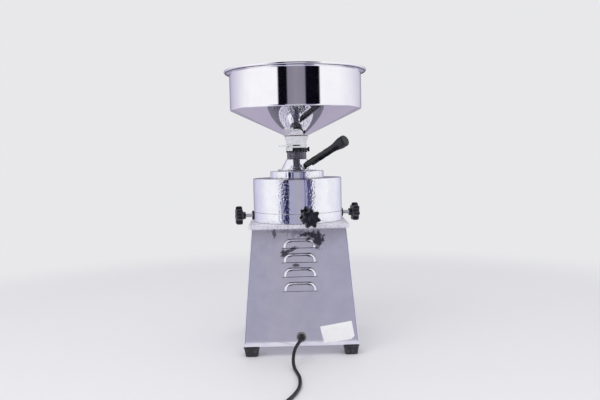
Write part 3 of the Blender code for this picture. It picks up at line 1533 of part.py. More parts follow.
def main():
    clear_scene()
    steel = material("polished_stainless", (0.62, 0.61, 0.66), 0.18, 1.0)
    mirror = material("mirror_polished_steel", (0.80, 0.79, 0.84), 0.06, 1.0)
    cast = material("cast_aluminium", (0.60, 0.60, 0.64), 0.40, 1.0)
    bright = material("bright_steel", (0.70, 0.70, 0.72), 0.25, 1.0)
    iron = material("core_iron", (0.18, 0.18, 0.20), 0.55, 0.8)
    rubber = material("black_rubber", (0.015, 0.016, 0.018), 0.65)
    bakelite = material("black_bakelite", (0.012, 0.013, 0.016), 0.22)
    plastic = material("white_plastic", (0.86, 0.86, 0.87), 0.35)
    stone = material("grinding_stone", (0.36, 0.31, 0.27), 0.90)
    fan_plastic = material("grey_plastic", (0.25, 0.26, 0.28), 0.50)

    axis = empty("machine_axis", None, (0, AXIS_Y, 0))
    rear = empty(
        "rear_face", axis, (0, -HOUSING_BOTTOM / 2, HOUSING_BASE), (HOUSING_LEAN, 0, math.pi)
    )
    front = empty(
        "front_face", axis, (0, HOUSING_BOTTOM / 2, HOUSING_BASE), (HOUSING_LEAN, 0, 0)
    )
    housing = build_housing(axis, steel)
    press_louvres(housing, rear)
    floor = build_bottom_plate(axis, steel)
    build_feet(axis, rubber)
    build_top_plate(axis, cast)
    build_bowl(axis, mirror)
    build_seal(axis, rubber)
    build_switch(housing, front, bakelite)
    build_gland(housing, rear, rubber)
    build_motor(axis, cast, iron, bright, rubber, floor)
    build_clamps(axis, bright, bakelite)
    build_cord(axis, rubber)

    rotor = empty("rotor_axis", axis)
    build_rotor(rotor, bright, iron, fan_plastic)
    build_lower_stone(rotor, stone, cast, bright)

    cover_seat = empty("cover_seat", axis)
    build_cover(cover_seat, mirror)
    washer_seat = empty("washer_seat", cover_seat)
    washer = [
        (WASHER_BORE, WASHER_BASE),
        (RIM_RADIUS, WASHER_BASE),
        (RIM_RADIUS, WASHER_BASE + WASHER_THICKNESS),
        (WASHER_BORE, WASHER_BASE + WASHER_THICKNESS),
    ]
    turned("thrust_washer", washer, bright, washer_seat)
    adjuster_axis = empty("adjuster_axis", washer_seat)
    build_adjuster(adjuster_axis, mirror, bright, bakelite)
    build_upper_stone(adjuster_axis, stone, cast, bright)
    build_neck(adjuster_axis, plastic, bakelite)
    gate_slide = empty("gate_slide", adjuster_axis)
    build_gate(gate_slide, plastic)
    hopper_seat = empty("hopper_seat", adjuster_axis)
    build_hopper(hopper_seat, mirror)


main()
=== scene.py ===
import math

import bmesh
import bpy
import numpy as np
from mathutils import Matrix, Vector


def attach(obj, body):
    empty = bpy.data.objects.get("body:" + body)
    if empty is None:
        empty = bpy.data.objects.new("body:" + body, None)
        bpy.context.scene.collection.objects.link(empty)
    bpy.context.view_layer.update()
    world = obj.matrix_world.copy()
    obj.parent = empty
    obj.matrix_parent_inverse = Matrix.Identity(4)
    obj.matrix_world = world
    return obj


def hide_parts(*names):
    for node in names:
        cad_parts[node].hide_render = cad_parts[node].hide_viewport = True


# Tabletop stone flour mill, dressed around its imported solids.
# Metres, +Z up. The louvres and the cord face -Y, the spout and the switch +Y.
# An azimuth is counted from -Y towards +X, about the shaft.

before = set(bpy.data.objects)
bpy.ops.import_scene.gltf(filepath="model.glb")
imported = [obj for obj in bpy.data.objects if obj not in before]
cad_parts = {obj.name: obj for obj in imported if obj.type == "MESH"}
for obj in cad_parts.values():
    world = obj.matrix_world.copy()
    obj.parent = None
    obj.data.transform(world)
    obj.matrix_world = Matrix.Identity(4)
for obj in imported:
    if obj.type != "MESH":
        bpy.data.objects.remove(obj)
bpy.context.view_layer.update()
print("stage: frame loaded")

shaftY = -0.0125  # where the shaft's axis stands
mm = 0.001


# Small tools

def linearColour(code):  # sRGB hex to linear red, green, blue
    parts = np.array([int(code[k:k + 2], 16) for k in (1, 3, 5)]) / 255
    linear = np.where(parts <= 0.04045, parts / 12.92, ((parts + 0.055) / 1.055) ** 2.4)
    return (*[float(v) for v in linear], 1.0)


def addNode(tree, kind, inputs=None, **settings):
    # One node: settings are its own properties, inputs are sockets by name or number;
    # an input given as another node's socket is linked, anything else is its value.
    node = tree.nodes.new(kind)
    for name, value in settings.items():
        setattr(node, name, value)
    for name, value in (inputs or {}).items():
        if isinstance(value, bpy.types.NodeSocket):
            tree.links.new(value, node.inputs[name])
        else:
            node.inputs[name].default_value = value
    return node


def newMaterial(name, base, roughness, metallic=0.0, sockets=None):
    made = bpy.data.materials.new(name)
    made.use_nodes = True
    shader = made.node_tree.nodes["Principled BSDF"]
    values = {"Base Color": linearColour(base), "Roughness": roughness, "Metallic": metallic}
    for socket, value in {**values, **(sockets or {})}.items():
        shader.inputs[socket].default_value = value
    return made, made.node_tree, shader


def stretchTo(tree, value, low, high, fromLow=0.3, fromHigh=0.7):
    # spreads a 0 to 1 pattern between two numbers
    return addNode(tree, "ShaderNodeMapRange", {
        "Value": value, "From Min": fromLow, "From Max": fromHigh, "To Min": low, "To Max": high,
    }).outputs["Result"]


def objectPlace(tree, scale=(1, 1, 1), offset=(0, 0, 0)):
    where = addNode(tree, "ShaderNodeTexCoord").outputs["Object"]
    return addNode(tree, "ShaderNodeMapping", {
        "Vector": where, "Scale": scale, "Location": offset,
    }).outputs["Vector"]


def noiseAt(tree, place, size, detail=3.0, roughness=0.55):
    # size in millimetres of the pattern's largest feature
    return addNode(tree, "ShaderNodeTexNoise", {
        "Vector": place, "Scale": 1 / (size * mm), "Detail": detail, "Roughness": roughness,
    }).outputs["Fac"]


def mathOf(tree, work, one, two):
    return addNode(tree, "ShaderNodeMath", {0: one, 1: two}, operation=work).outputs[0]


def ringPlace(tree, alongAngle=0.0):
    # (distance from the shaft, height, a little of the angle): patterns that follow the lathe
    centred = objectPlace(tree, offset=(0, -shaftY, 0))
    parts = addNode(tree, "ShaderNodeSeparateXYZ", {"Vector": centred}).outputs
    flat = addNode(tree, "ShaderNodeCombineXYZ", {"X": parts["X"], "Y": parts["Y"]}).outputs[0]
    radius = addNode(tree, "ShaderNodeVectorMath", {0: flat}, operation="LENGTH").outputs["Value"]
    angle = mathOf(tree, "ARCTAN2", parts["Y"], parts["X"])
    return addNode(tree, "ShaderNodeCombineXYZ", {
        "X": radius, "Y": mathOf(tree, "MULTIPLY", angle, alongAngle), "Z": parts["Z"],
    }).outputs[0]


def bumpOf(tree, height, depth, strength=1.0, normal=None):
    inputs = {"Height": height, "Distance": depth * mm, "Strength": strength}
    if normal is not None:
        inputs["Normal"] = normal
    return addNode(tree, "ShaderNodeBump", inputs).outputs["Normal"]


def mixColours(tree, share, one, two):
    # each tone is a socket, or a hex code
    one, two = (linearColour(tone) if isinstance(tone, str) else tone for tone in (one, two))
    return addNode(tree, "ShaderNodeMix", {0: share, 6: one, 7: two}, data_type="RGBA").outputs[2]


def feed(tree, shader, colour, rough=None, normal=None):
    for socket, value in (("Base Color", colour), ("Roughness", rough), ("Normal", normal)):
        if value is not None:
            tree.links.new(value, shader.inputs[socket])


def linked(name, data):
    made = bpy.data.objects.new(name, data)
    bpy.context.collection.objects.link(made)
    return made


# Camera

cameraLook = {
    "place": (-0.0244, -1.45, 0.3988),
    "yaw": 0.0205,
    "pitch": 0.0648,
    "roll": -0.0210,
    "focalPixels": 672.5,
    "imageWidth": 600,
    "sensor": 36.0,
}


def buildCamera(look):
    yaw, pitch, roll = look["yaw"], look["pitch"], look["roll"]
    forward = Vector((math.sin(yaw) * math.cos(pitch), math.cos(yaw) * math.cos(pitch), -math.sin(pitch)))
    right = Vector((math.cos(yaw), -math.sin(yaw), 0))
    up = right.cross(forward)
    across = right * math.cos(roll) + up * math.sin(roll)
    upright = up * math.cos(roll) - right * math.sin(roll)
    data = bpy.data.cameras.new("photoCamera")
    data.sensor_fit = "HORIZONTAL"
    data.sensor_width = look["sensor"]
    data.lens = look["focalPixels"] / look["imageWidth"] * look["sensor"]
    data.clip_start = 0.02
    made = linked("photoCamera", data)
    turn = Matrix((across, upright, -forward)).transposed()
    made.matrix_world = Matrix.Translation(look["place"]) @ turn.to_4x4()
    bpy.context.scene.camera = made


buildCamera(cameraLook)
print("stage: camera")


# Surfaces

def filletPath(corners, steps=6):
    # Each corner (a, b, r) becomes an arc of radius r between its neighbours; (a, b) stays sharp.
    out = []
    count = len(corners)
    for k, corner in enumerate(corners):
        here = np.array(corner[:2], float)
        if len(corner) == 2 or corner[2] <= 0:
            out.append(here)
            continue
        before = np.array(corners[k - 1][:2], float) - here
        after = np.array(corners[(k + 1) % count][:2], float) - here
        before /= np.linalg.norm(before)
        after /= np.linalg.norm(after)
        half = math.acos(np.clip(before @ after, -1, 1)) / 2
        middle = (before + after) / np.linalg.norm(before + after)
        centre = here + middle * corner[2] / math.sin(half)
        start = here + before * corner[2] / math.tan(half) - centre
        end = here + after * corner[2] / math.tan(half) - centre
        sweep = math.atan2(start[0] * end[1] - start[1] * end[0], start @ end)
        angles = np.linspace(0, sweep, steps + 1)
        turned = np.stack([
            start[0] * np.cos(angles) - start[1] * np.sin(angles),
            start[0] * np.sin(angles) + start[1] * np.cos(angles),
        ], axis=1)
        out.extend(centre + turned)
    return np.array(out)


def ringSection(inner, outer, low, high, edges, steps=6):
    # an upright oblong, each corner with its own radius, from the inner low one round by the outer
    corners = ((inner, low), (outer, low), (outer, high), (inner, high))
    return filletPath([(*corner, edge) for corner, edge in zip(corners, edges)], steps)


def turnedGrid(profile, segments=160, centre=(0.0, shaftY)):
    # row i, column j: the profile's (radius, height) i carried to the angle j; segments is the
    # number of even angles, or the angles
    angles = np.linspace(0, 2 * np.pi, segments, endpoint=False) if isinstance(segments, int) else segments
    x = centre[0] + profile[:, :1] * np.cos(angles)
    y = centre[1] + profile[:, :1] * np.sin(angles)
    z = np.broadcast_to(profile[:, 1:2], x.shape)
    return np.stack([x, y, z], axis=2)


def gridFaces(rows, columns, start=0, closeRows=False):
    # each face joins four neighbours, and the columns always close
    index = np.arange(rows * columns).reshape(rows, columns) + start
    if closeRows:
        index = np.vstack([index, index[:1]])
    index = np.hstack([index, index[:, :1]])
    return np.stack([index[:-1, :-1], index[:-1, 1:], index[1:, 1:], index[1:, :-1]], axis=2)


def makePiece(name, grids, material, body, replaced=(), sharp=32.0):
    # Each grid is its points, or (points, rows close, faces to keep). Doubles at poles and seams
    # are merged, then faces are pointed outwards.
    allPoints = []
    allFaces = []
    start = 0
    for grid in grids:
        points, closeRows, keep = (*grid, None)[:3] if isinstance(grid, tuple) else (grid, False, None)
        rows, columns = points.shape[:2]
        faces = gridFaces(rows, columns, start, closeRows)
        allFaces.append(faces.reshape(-1, 4) if keep is None else faces[keep])
        allPoints.append(points.reshape(-1, 3))
        start += rows * columns
    mesh = bpy.data.meshes.new(name)
    mesh.from_pydata(np.vstack(allPoints).tolist(), [], np.vstack(allFaces).tolist())
    work = bmesh.new()
    work.from_mesh(mesh)
    bmesh.ops.remove_doubles(work, verts=work.verts, dist=2e-6)
    loose = [v for v in work.verts if not v.link_faces]
    bmesh.ops.delete(work, geom=loose, context="VERTS")
    bmesh.ops.recalc_face_normals(work, faces=work.faces)
    work.to_mesh(mesh)
    work.free()
    mesh.shade_smooth()
    mesh.set_sharp_from_angle(angle=math.radians(sharp))
    mesh.materials.append(material)
    made = linked(name, mesh)
    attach(made, body)
    if replaced:
        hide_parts(*replaced)
    return made


def carried(points, origin, across, along, out):
    # moves points (a, b, c) to origin + a across + b along + c out
    basis = np.array([across, along, out], float)
    return np.asarray(origin, float) + points @ basis


def turnedAlong(profile, segments, origin, basis):
    # turns the profile (radius, along) about the line from origin along the basis's last direction
    return carried(turnedGrid(profile, segments, (0.0, 0.0)), origin, *basis)


def spunPoints(radius, angles, along):
    # polar to (a, b, c), from millimetres to metres; radius has a row for each place along
    flat = (radius * np.cos(angles), radius * np.sin(angles), np.broadcast_to(along, radius.shape))
    return np.stack(flat, axis=2) * mm


def closedEnds(points):
    # a row at each end, all of it at the middle of the row next to it
    ends = [np.broadcast_to(row.mean(axis=1, keepdims=True), row.shape) for row in (points[:1], points[-1:])]
    return np.concatenate([ends[0], points, ends[1]])


def axisBasis(direction, upward=(0, 0, 1)):
    # two directions square to a line, and the line itself
    out = np.array(direction, float) / np.linalg.norm(direction)
    across = np.cross(upward, out)
    across /= np.linalg.norm(across)
    return across, np.cross(out, across), out


def smoothLine(points, step):
    # a Catmull-Rom curve through the points, then read at even steps along its length
    line = np.asarray(points, float)
    line = np.vstack([2 * line[0] - line[1], line, 2 * line[-1] - line[-2]])
    t = np.linspace(0, 1, 40, endpoint=False)[None, :, None]
    a, b, c, d = (line[k:len(line) - 3 + k, None, :] for k in range(4))
    fine = 0.5 * (2 * b + (c - a) * t + (2 * a - 5 * b + 4 * c - d) * t**2
                  + (3 * b - a - 3 * c + d) * t**3)
    fine = np.vstack([fine.reshape(-1, 3), line[-2:-1]])
    along = np.concatenate([[0], np.cumsum(np.linalg.norm(np.diff(fine, axis=0), axis=1))])
    where = np.linspace(0, along[-1], max(2, round(along[-1] / step) + 1))
    return np.stack([np.interp(where, along, fine[:, k]) for k in range(3)], axis=1)


def tubeGrid(path, radius, sides=20):
    # circles of the given radius, square to the path, with closed ends
    path = np.asarray(path, float)
    tangent = np.gradient(path, axis=0)
    tangent /= np.linalg.norm(tangent, axis=1, keepdims=True)
    side = np.cross(tangent, (0.0, 0.0, 1.0))
    short = np.linalg.norm(side, axis=1) < 1e-6
    side[short] = np.cross(tangent[short], (0.0, 1.0, 0.0))
    side /= np.linalg.norm(side, axis=1, keepdims=True)
    other = np.cross(side, tangent)
    angles = np.linspace(0, 2 * np.pi, sides, endpoint=False)[None, :, None]
    return closedEnds(path[:, None] + radius * (np.cos(angles) * side[:, None] + np.sin(angles) * other[:, None]))


# Cord

cordLook = {
    "diameter": 6.5 * mm,
    "housingHalf": 116 * mm,
    "housingBase": 20.3 * mm,
    "glandHeight": 18.4 * mm,
    "lean": math.atan(20 / 234),
    "bootLength": 24 * mm,
    "coilCentre": (-0.008, -0.455),
    "coilMiddle": 35.75 * mm,
    "plugStart": (0.078, -0.4975, 0.0183),
}
leadRoute = (
    (-0.00090, -0.15122, 0.04179),
    (-0.00372, -0.15786, 0.04182),
    (-0.00708, -0.16486, 0.04002),
    (-0.01081, -0.17088, 0.03635),
    (-0.01417, -0.17580, 0.03105),
    (-0.01645, -0.17964, 0.02443),
    (-0.01758, -0.18316, 0.01736),
    (-0.01787, -0.18839, 0.01135),
    (-0.01710, -0.19582, 0.00638),
    (-0.01538, -0.20622, 0.00342),
    (-0.01258, -0.22196, 0.00325),
    (-0.0081, -0.2510, 0.00325),
    (-0.0071, -0.2810, 0.00325),
    (-0.0098, -0.3105, 0.00325),
    (-0.0168, -0.3380, 0.00325),
    (-0.0270, -0.3640, 0.00325),
    (-0.0386, -0.3895, 0.00325),
    (-0.0468, -0.4105, 0.00325),
)
tailRoute = (
    (0.0300, -0.4944, 0.0078),
    (0.0410, -0.4950, 0.0070),
    (0.0520, -0.4958, 0.0088),
    (0.0630, -0.4968, 0.0144),
)


def glandLine(look):
    # the boot's foot on the rear face, and the direction square to that face
    lean = look["lean"]
    foot = np.array([
        0.0,
        shaftY - look["housingHalf"] + look["glandHeight"] * math.sin(lean),
        look["housingBase"] + look["glandHeight"] * math.cos(lean),
    ])
    return foot, np.array([0.0, -math.cos(lean), math.sin(lean)])


def coilTurns(look):
    # Anticlockwise from above, starting at -X: the bottom layer winds in over three turns, and
    # the upper one back out over two and a quarter, each turn a diameter from the next.
    d = look["diameter"]
    lift = d * math.sqrt(3) / 2
    turns = np.array([0.0, 0.9, 1.0, 1.9, 2.0, 2.75, 3.15, 3.9, 4.15, 5.25])
    radii = look["coilMiddle"] + d * np.array([1, 1, 0, 0, -1, -1, -0.5, -0.5, 0.5, 0.5])
    heights = np.array([0, 0, 0, 0, 0, 0, 1, 1, 1, 1]) * lift + d / 2
    where = np.linspace(0, 5.25, 5 * 36 + 9)
    ease = np.interp(where, turns, radii)
    level = np.interp(where, turns, heights)
    angle = math.pi + 2 * math.pi * where
    cx, cy = look["coilCentre"]
    return np.stack([cx + ease * np.cos(angle), cy + ease * np.sin(angle), level], axis=1)


def buildCord(look, sheath, ends):
    d = look["diameter"]
    foot, outward = glandLine(look)
    tip = foot + outward * look["bootLength"]
    exitPoint = foot + outward * (look["bootLength"] - 0.5 * mm)
    shift = np.array([0.0, shaftY, 0.0])
    lead = np.array(leadRoute) + shift
    start = [exitPoint, tip + outward * d]
    coil = coilTurns(look) + shift
    tail = np.array(tailRoute) + shift
    end = np.array(look["plugStart"]) + shift
    before = end - np.array([d, 0, 0])
    line = smoothLine(np.vstack([start, lead, coil[::3], tail, before, end + (0.6 * mm, 0, 0)]), 3.0 * mm)
    line[:, 2] = np.maximum(line[:, 2], d / 2)
    length = float(np.sum(np.linalg.norm(np.diff(line, axis=0), axis=1)))
    cord = makePiece("powerCord", [tubeGrid(line, d / 2, 16)], sheath, "base",
                     ("cord_lead", "cord_coil", "cord_tail"))
    for piece in [cord, *ends]:
        piece.visible_glossy = False  # the coil near the viewer stays out of the housing's mirror
    return length


# Finishes

# dark marks on the rear face: x and z of the middle, half width, half height, all mm, turn, share
darkMarks = (
    (25, 242, 21, 9, 0, 0.95), (37, 231, 12, 15, -20, 0.95), (4, 247, 20, 5, 0, 0.5), (-50, 246, 4, 8, 0, 0.7),
    (-12, 246, 4, 11, 0, 0.3), (-24, 247, 3, 9, 0, 0.3), (-31, 205, 6, 7, 30, 0.9), (-17, 212, 14, 4, -24, 0.85),
    (-9, 181, 8, 3.5, 0, 0.8), (-20, 249, 40, 3, 0, 0.35),
)


def noisyFinish(name, base, roughness, metallic, tint, tones, rough=None, bump=None, grow=(1, 1, 1), sockets=None):
    # A noise is (size in mm, detail, roughness), the last two optional. tint is one, tones its two
    # tones and perhaps its two ends, rough is (noise, low, high), bump is (noise, depth, strength).
    made, tree, shader = newMaterial(name, base, roughness, metallic, sockets)
    place = objectPlace(tree, grow)
    share = stretchTo(tree, noiseAt(tree, place, *tint), 0, 1, *tones[2:])
    feed(tree, shader, mixColours(tree, share, *tones[:2]),
         rough and stretchTo(tree, noiseAt(tree, place, *rough[0]), *rough[1:]),
         bump and bumpOf(tree, noiseAt(tree, place, *bump[0]), *bump[1:]))
    return made


def grainedFinish(name, base, roughness, metallic, broad, tones, grain, speck, rough, bump, tall=1):
    # A cast skin: a broad noise between two tones, and over it a fine grain in a third.
    made, tree, shader = newMaterial(name, base, roughness, metallic)
    under = noiseAt(tree, objectPlace(tree, (1, 1, tall)), *broad)
    skin = noiseAt(tree, objectPlace(tree), *grain)
    tone = mixColours(tree, stretchTo(tree, under, 0, 1), *tones[:2])
    feed(tree, shader, mixColours(tree, stretchTo(tree, skin, 0, 1, *speck), tone, tones[2]),
         stretchTo(tree, skin, *rough), bumpOf(tree, skin, *bump))
    return made


def finishSpunMirror():
    # Spun and buffed stainless: a clear mirror with long soft ripples and faint lathe rings.
    made, tree, shader = newMaterial("spun mirror stainless", "#FAF9FC", 0.04, 1.0)
    ring = ringPlace(tree, 0.02)
    rings = noiseAt(tree, ring, 2.2, 2)
    smudge = noiseAt(tree, objectPlace(tree), 46, 5, 0.6)
    wave = noiseAt(tree, objectPlace(tree, (1, 1, 0.6)), 60, 1)
    feed(tree, shader, mixColours(tree, stretchTo(tree, smudge, 0, 1), "#FCFBFD", "#F4F3F8"),
         stretchTo(tree, smudge, 0.03, 0.07, 0.35, 0.75),
         bumpOf(tree, rings, 0.02, 0.3, bumpOf(tree, wave, 0.7, 0.2)))
    return made


def finishPolishedCasting(name="polished cast aluminium", paintedReflection=False):
    # Polished cast aluminium: bluish and bright. Fine pits tilt its surface a little, so that
    # the edge of anything dark that it mirrors breaks up into specks. Above the chamber, strokes
    # of the polishing belt run upwards. Where asked, a grey run is painted down the rear: a painted
    # reflection of something dark mirrored in the cone, flecked and rougher.
    made, tree, shader = newMaterial(name, "#F2F2F7", 0.12, 1.0)
    place = objectPlace(tree)
    pits = noiseAt(tree, place, 4.5, 2, 0.5)
    patch = noiseAt(tree, place, 24, 4, 0.6)
    clean = mixColours(tree, stretchTo(tree, patch, 0, 1), "#F8F8FB", "#ECECF3")
    parts = addNode(tree, "ShaderNodeSeparateXYZ", {"Vector": place}).outputs
    if paintedReflection:
        # the run's left and right edges, x in millimetres at a height z, roughened by the pits
        across = mathOf(tree, "DIVIDE", parts["X"], mm)
        height = mathOf(tree, "SUBTRACT", mathOf(tree, "DIVIDE", parts["Z"], mm), 372.2)
        left = mathOf(tree, "ADD", mathOf(tree, "ADD", across, 5.2), mathOf(tree, "MULTIPLY", height, 0.2))
        right = mathOf(tree, "SUBTRACT", 7.6, mathOf(tree, "MULTIPLY", height, 0.08))
        right = mathOf(tree, "SUBTRACT", right, across)
        ragged = stretchTo(tree, noiseAt(tree, place, 6, 4, 0.7), -1.6, 1.6)
        inside = mathOf(tree, "ADD", mathOf(tree, "MINIMUM", left, right), ragged)
        # the run is a painted reflection, only on the half of the shaft towards the viewer
        run = mathOf(tree, "MULTIPLY", stretchTo(tree, inside, 0, 1, -0.3, 0.7),
                     mathOf(tree, "LESS_THAN", parts["Y"], shaftY))
        fleck = stretchTo(tree, noiseAt(tree, place, 3, 5, 0.75), 0.0, 1.0, 0.38, 0.66)
        grey = mixColours(tree, fleck, "#5B5A61", "#A3A2AB")
        clean = mixColours(tree, run, clean, grey)
        rough = stretchTo(tree, run, 0.1, 0.42, 0, 1)
    else:
        rough = stretchTo(tree, patch, 0.03, 0.07)
    # the flat top of the cover is left as turned: grey, with rings
    flat = addNode(tree, "ShaderNodeMath", {0: parts["Z"], 1: 0.3536, 2: 0.0004},
                   operation="COMPARE").outputs[0]
    rings = noiseAt(tree, ringPlace(tree, 0.004), 2.5, 3, 0.6)
    turned = mixColours(tree, stretchTo(tree, rings, 0, 1), "#5E5C66", "#8D8B97")
    first = bumpOf(tree, noiseAt(tree, place, 30, 1), 0.5, 0.3)
    stroke = noiseAt(tree, objectPlace(tree, (1, 1, 0.02)), 7, 1)
    high = mathOf(tree, "GREATER_THAN", parts["Z"], 0.3538)
    second = bumpOf(tree, mathOf(tree, "MULTIPLY", stroke, high), 2.2, 0.8, first)
    # the strip under the rear screw is buffed smooth, the pits start to either side of it
    aside = stretchTo(tree, mathOf(tree, "ABSOLUTE", parts["X"], 0.0), 0.05, 1.0, 0.0145, 0.019)
    feed(tree, shader, mixColours(tree, flat, clean, turned), rough,
         bumpOf(tree, mathOf(tree, "MULTIPLY", pits, aside), 0.7, 0.8, second))
    return made


def finishSheet():
    # Bright stainless sheet: a slightly milky mirror, wavy between the folds. Dark marks on the
    # rear face darken it: each is an ellipse about (x, z) whose edge is broken up by noise.
    made, tree, shader = newMaterial("bright stainless sheet", "#EFEEF6", 0.06, 1.0)
    place = objectPlace(tree)
    smudge = noiseAt(tree, place, 38, 5, 0.62)
    clean = mixColours(tree, stretchTo(tree, smudge, 0, 1), "#F4F3FA", "#E6E5EF")
    parts = addNode(tree, "ShaderNodeSeparateXYZ", {"Vector": place}).outputs
    level = addNode(tree, "ShaderNodeCombineXYZ", {"X": parts["X"], "Z": parts["Z"]})
    marks = 0.0
    ragged = stretchTo(tree, noiseAt(tree, place, 9, 6, 0.7), -0.75, 0.75)
    for x, z, wide, tall, turn, share in darkMarks:
        # distance from the mark's middle, in half widths and half heights, edge roughened
        around = addNode(tree, "ShaderNodeMapping", {
            "Vector": level.outputs[0], "Location": (x * mm, 0, z * mm), "Rotation": (0, math.radians(turn), 0),
            "Scale": (wide * mm, 1, tall * mm),
        }, vector_type="TEXTURE").outputs["Vector"]
        away = addNode(tree, "ShaderNodeVectorMath", {0: around}, operation="LENGTH").outputs["Value"]
        near = addNode(tree, "ShaderNodeMapRange", {
            "Value": mathOf(tree, "ADD", away, ragged), "From Min": 0.7, "From Max": 1.15,
            "To Min": share, "To Max": 0.0,
        }).outputs["Result"]
        marks = mathOf(tree, "MAXIMUM", near, marks)
    behind = mathOf(tree, "LESS_THAN", parts["Y"], shaftY - 0.09)
    marks = mathOf(tree, "MULTIPLY", marks, behind)
    first = bumpOf(tree, noiseAt(tree, objectPlace(tree, (1, 1, 0.7)), 55, 1), 0.8, 0.2)
    feed(tree, shader, mixColours(tree, marks, clean, "#3E3D47"), stretchTo(tree, smudge, 0.03, 0.09, 0.35, 0.75),
         bumpOf(tree, noiseAt(tree, place, 5, 2), 0.02, 0.3, first))
    return made


def finishStone():
    # Bonded emery: warm grey-brown grit with pale and dark grains.
    made, tree, shader = newMaterial("bonded emery stone", "#8A8178", 0.9)
    place = objectPlace(tree)
    grains = addNode(tree, "ShaderNodeTexVoronoi", {"Vector": place, "Scale": 1 / (1.1 * mm)})
    shade = addNode(tree, "ShaderNodeSeparateColor", {0: grains.outputs["Color"]}).outputs[0]
    feed(tree, shader, mixColours(tree, stretchTo(tree, shade, 0, 1, 0.1, 0.9), "#6B625A", "#A89E92"),
         normal=bumpOf(tree, shade, 0.25, 0.8))
    return made


def finishIron():
    # Stacked core plates: dark oxide with fine horizontal laminations.
    made, tree, shader = newMaterial("laminated core iron", "#4A4B50", 0.5, 0.9)
    place = objectPlace(tree)
    bands = addNode(tree, "ShaderNodeTexWave", {
        "Vector": place, "Scale": 1 / (3.2 * mm), "Distortion": 0.3,
    }, bands_direction="Z").outputs["Fac"]
    feed(tree, shader, mixColours(tree, bands, "#3C3D42", "#5C5D63"), normal=bumpOf(tree, bands, 0.1, 0.6))
    return made


finish = {
    # soft black vinyl, a low sheen with faint streaks and dust along it
    "sheath": noisyFinish("black vinyl cord sheath", "#17181A", 0.48, 0.0, (9, 4), ("#141517", "#222326"),
                          ((3,), 0.40, 0.58), ((1.2, 2), 0.05, 0.5)),
    # nearly matt, with a fine orange-peel grain and paler worn patches
    "rubber": noisyFinish("black moulded rubber", "#1A1B1D", 0.66, 0.0, (14, 5, 0.6),
                          ("#151617", "#2A2B2D", 0.35, 0.75), ((14, 5, 0.6), 0.58, 0.76), ((0.7, 3), 0.06, 0.7)),
    # deep black with a low satin sheen, slightly rippled, with handling haze
    "phenolic": noisyFinish("black phenolic moulding", "#0D0F13", 0.28, 0.0, (11, 4, 0.6), ("#0A0B0E", "#1D2028"),
                            ((11, 4, 0.6), 0.16, 0.34), ((6, 2), 0.12, 0.35),
                            sockets={"Specular IOR Level": 0.45}),
    # satin, faintly uneven and a little translucent
    "white": noisyFinish("white polypropylene", "#F4F4F6", 0.38, 0.0, (12, 4), ("#F6F6F8", "#E9E9EE"),
                         ((12, 4), 0.32, 0.46), ((1.5, 2), 0.05, 0.5),
                         sockets={"Subsurface Weight": 0.08, "Subsurface Scale": 0.002}),
    "mirror": finishSpunMirror(),
    "casting": finishPolishedCasting(),
    # the adjuster's body: this casting with a grey painted reflection run down its rear
    "castingWithPaintedReflection": finishPolishedCasting("cast aluminium with painted reflection", True),
    # the adjuster's tube, as cast and oiled: dark grey, mottled, with the lathe's tall streaks
    "darkCasting": grainedFinish("oiled cast aluminium", "#6E6E76", 0.45, 0.85, (5, 4, 0.7),
                                 ("#3C3B41", "#7F7E87", "#A9A7B0"), (2.4, 5, 0.7), (0.5, 0.68), (0.36, 0.6),
                                 (0.25, 0.8), 0.25),
    # the top plate, fettled but not polished: pale grey with a dense dark grain
    "plateCasting": grainedFinish("fettled cast aluminium", "#EFEEF6", 0.34, 0.4, (22, 4, 0.6),
                                  ("#F8F7FC", "#E6E5EE", "#85848F"), (2.6, 5, 0.7), (0.52, 0.7), (0.26, 0.46),
                                  (0.12, 0.7)),
    "sheet": finishSheet(),
    # greyish bright metal with fine turning marks
    "steel": noisyFinish("zinc-plated steel", "#B9BAC0", 0.28, 1.0, (7,), ("#BFC0C6", "#9FA1A9"),
                         ((0.9, 3), 0.22, 0.36), ((0.9, 3), 0.02, 0.5)),
    # pale grey with a coarse sand-cast skin
    "satin": noisyFinish("satin cast aluminium", "#B4B5BC", 0.42, 1.0, (12,), ("#BBBCC3", "#9C9DA6"),
                         ((1.6, 4, 0.65), 0.34, 0.52), ((1.6, 4, 0.65), 0.12, 0.7)),
    "stone": finishStone(),
    "iron": finishIron(),
    # dull grey with a fine grain, from its glass fibres
    "nylon": noisyFinish("grey filled nylon", "#6F7176", 0.55, 0.0, (1.0, 4), ("#6A6C71", "#7C7E84"),
                         bump=((1.0, 4), 0.05, 0.6)),
    # pale bright metal with slight scratches along the pins
    "brass": noisyFinish("nickelled brass", "#D8D2BE", 0.2, 1.0, (0.8, 3), ("#DDD8C8", "#C2BBA6"),
                         ((0.8, 3), 0.14, 0.3), grow=(0.2, 1, 1)),
    # white with a soft fibre tint
    "label": noisyFinish("blank paper label", "#F0F0F0", 0.55, 0.0, (2.5, 5, 0.7), ("#F4F4F4", "#E6E6E8"),
                         bump=((2.5, 5, 0.7), 0.03, 0.5)),
    # rubber greyed by dust and flour
    "grommet": noisyFinish("dusty grey rubber", "#6E716D", 0.6, 0.0, (4, 5, 0.65), ("#4C4F4D", "#8B8F8C"),
                           bump=((4, 5, 0.65), 0.06, 0.7)),
    # dark, dull and uneven, for the ring under the rolled bead
    "seamDark": noisyFinish("dark dull seam", "#2A282E", 0.8, 0.0, (6, 5, 0.7), ("#1C1A20", "#5C5965"),
                         bump=((6, 5, 0.7), 0.1, 0.8)),
    # denser rubber with a slight gloss, scuffed and dusty
    "foot": noisyFinish("dense foot rubber", "#17181B", 0.42, 0.0, (5, 6, 0.7), ("#1C1D22", "#5E6068", 0.5, 0.75),
                        ((5, 6, 0.7), 0.34, 0.62), ((5, 6, 0.7), 0.1, 0.7)),
}
print("stage: finishes")


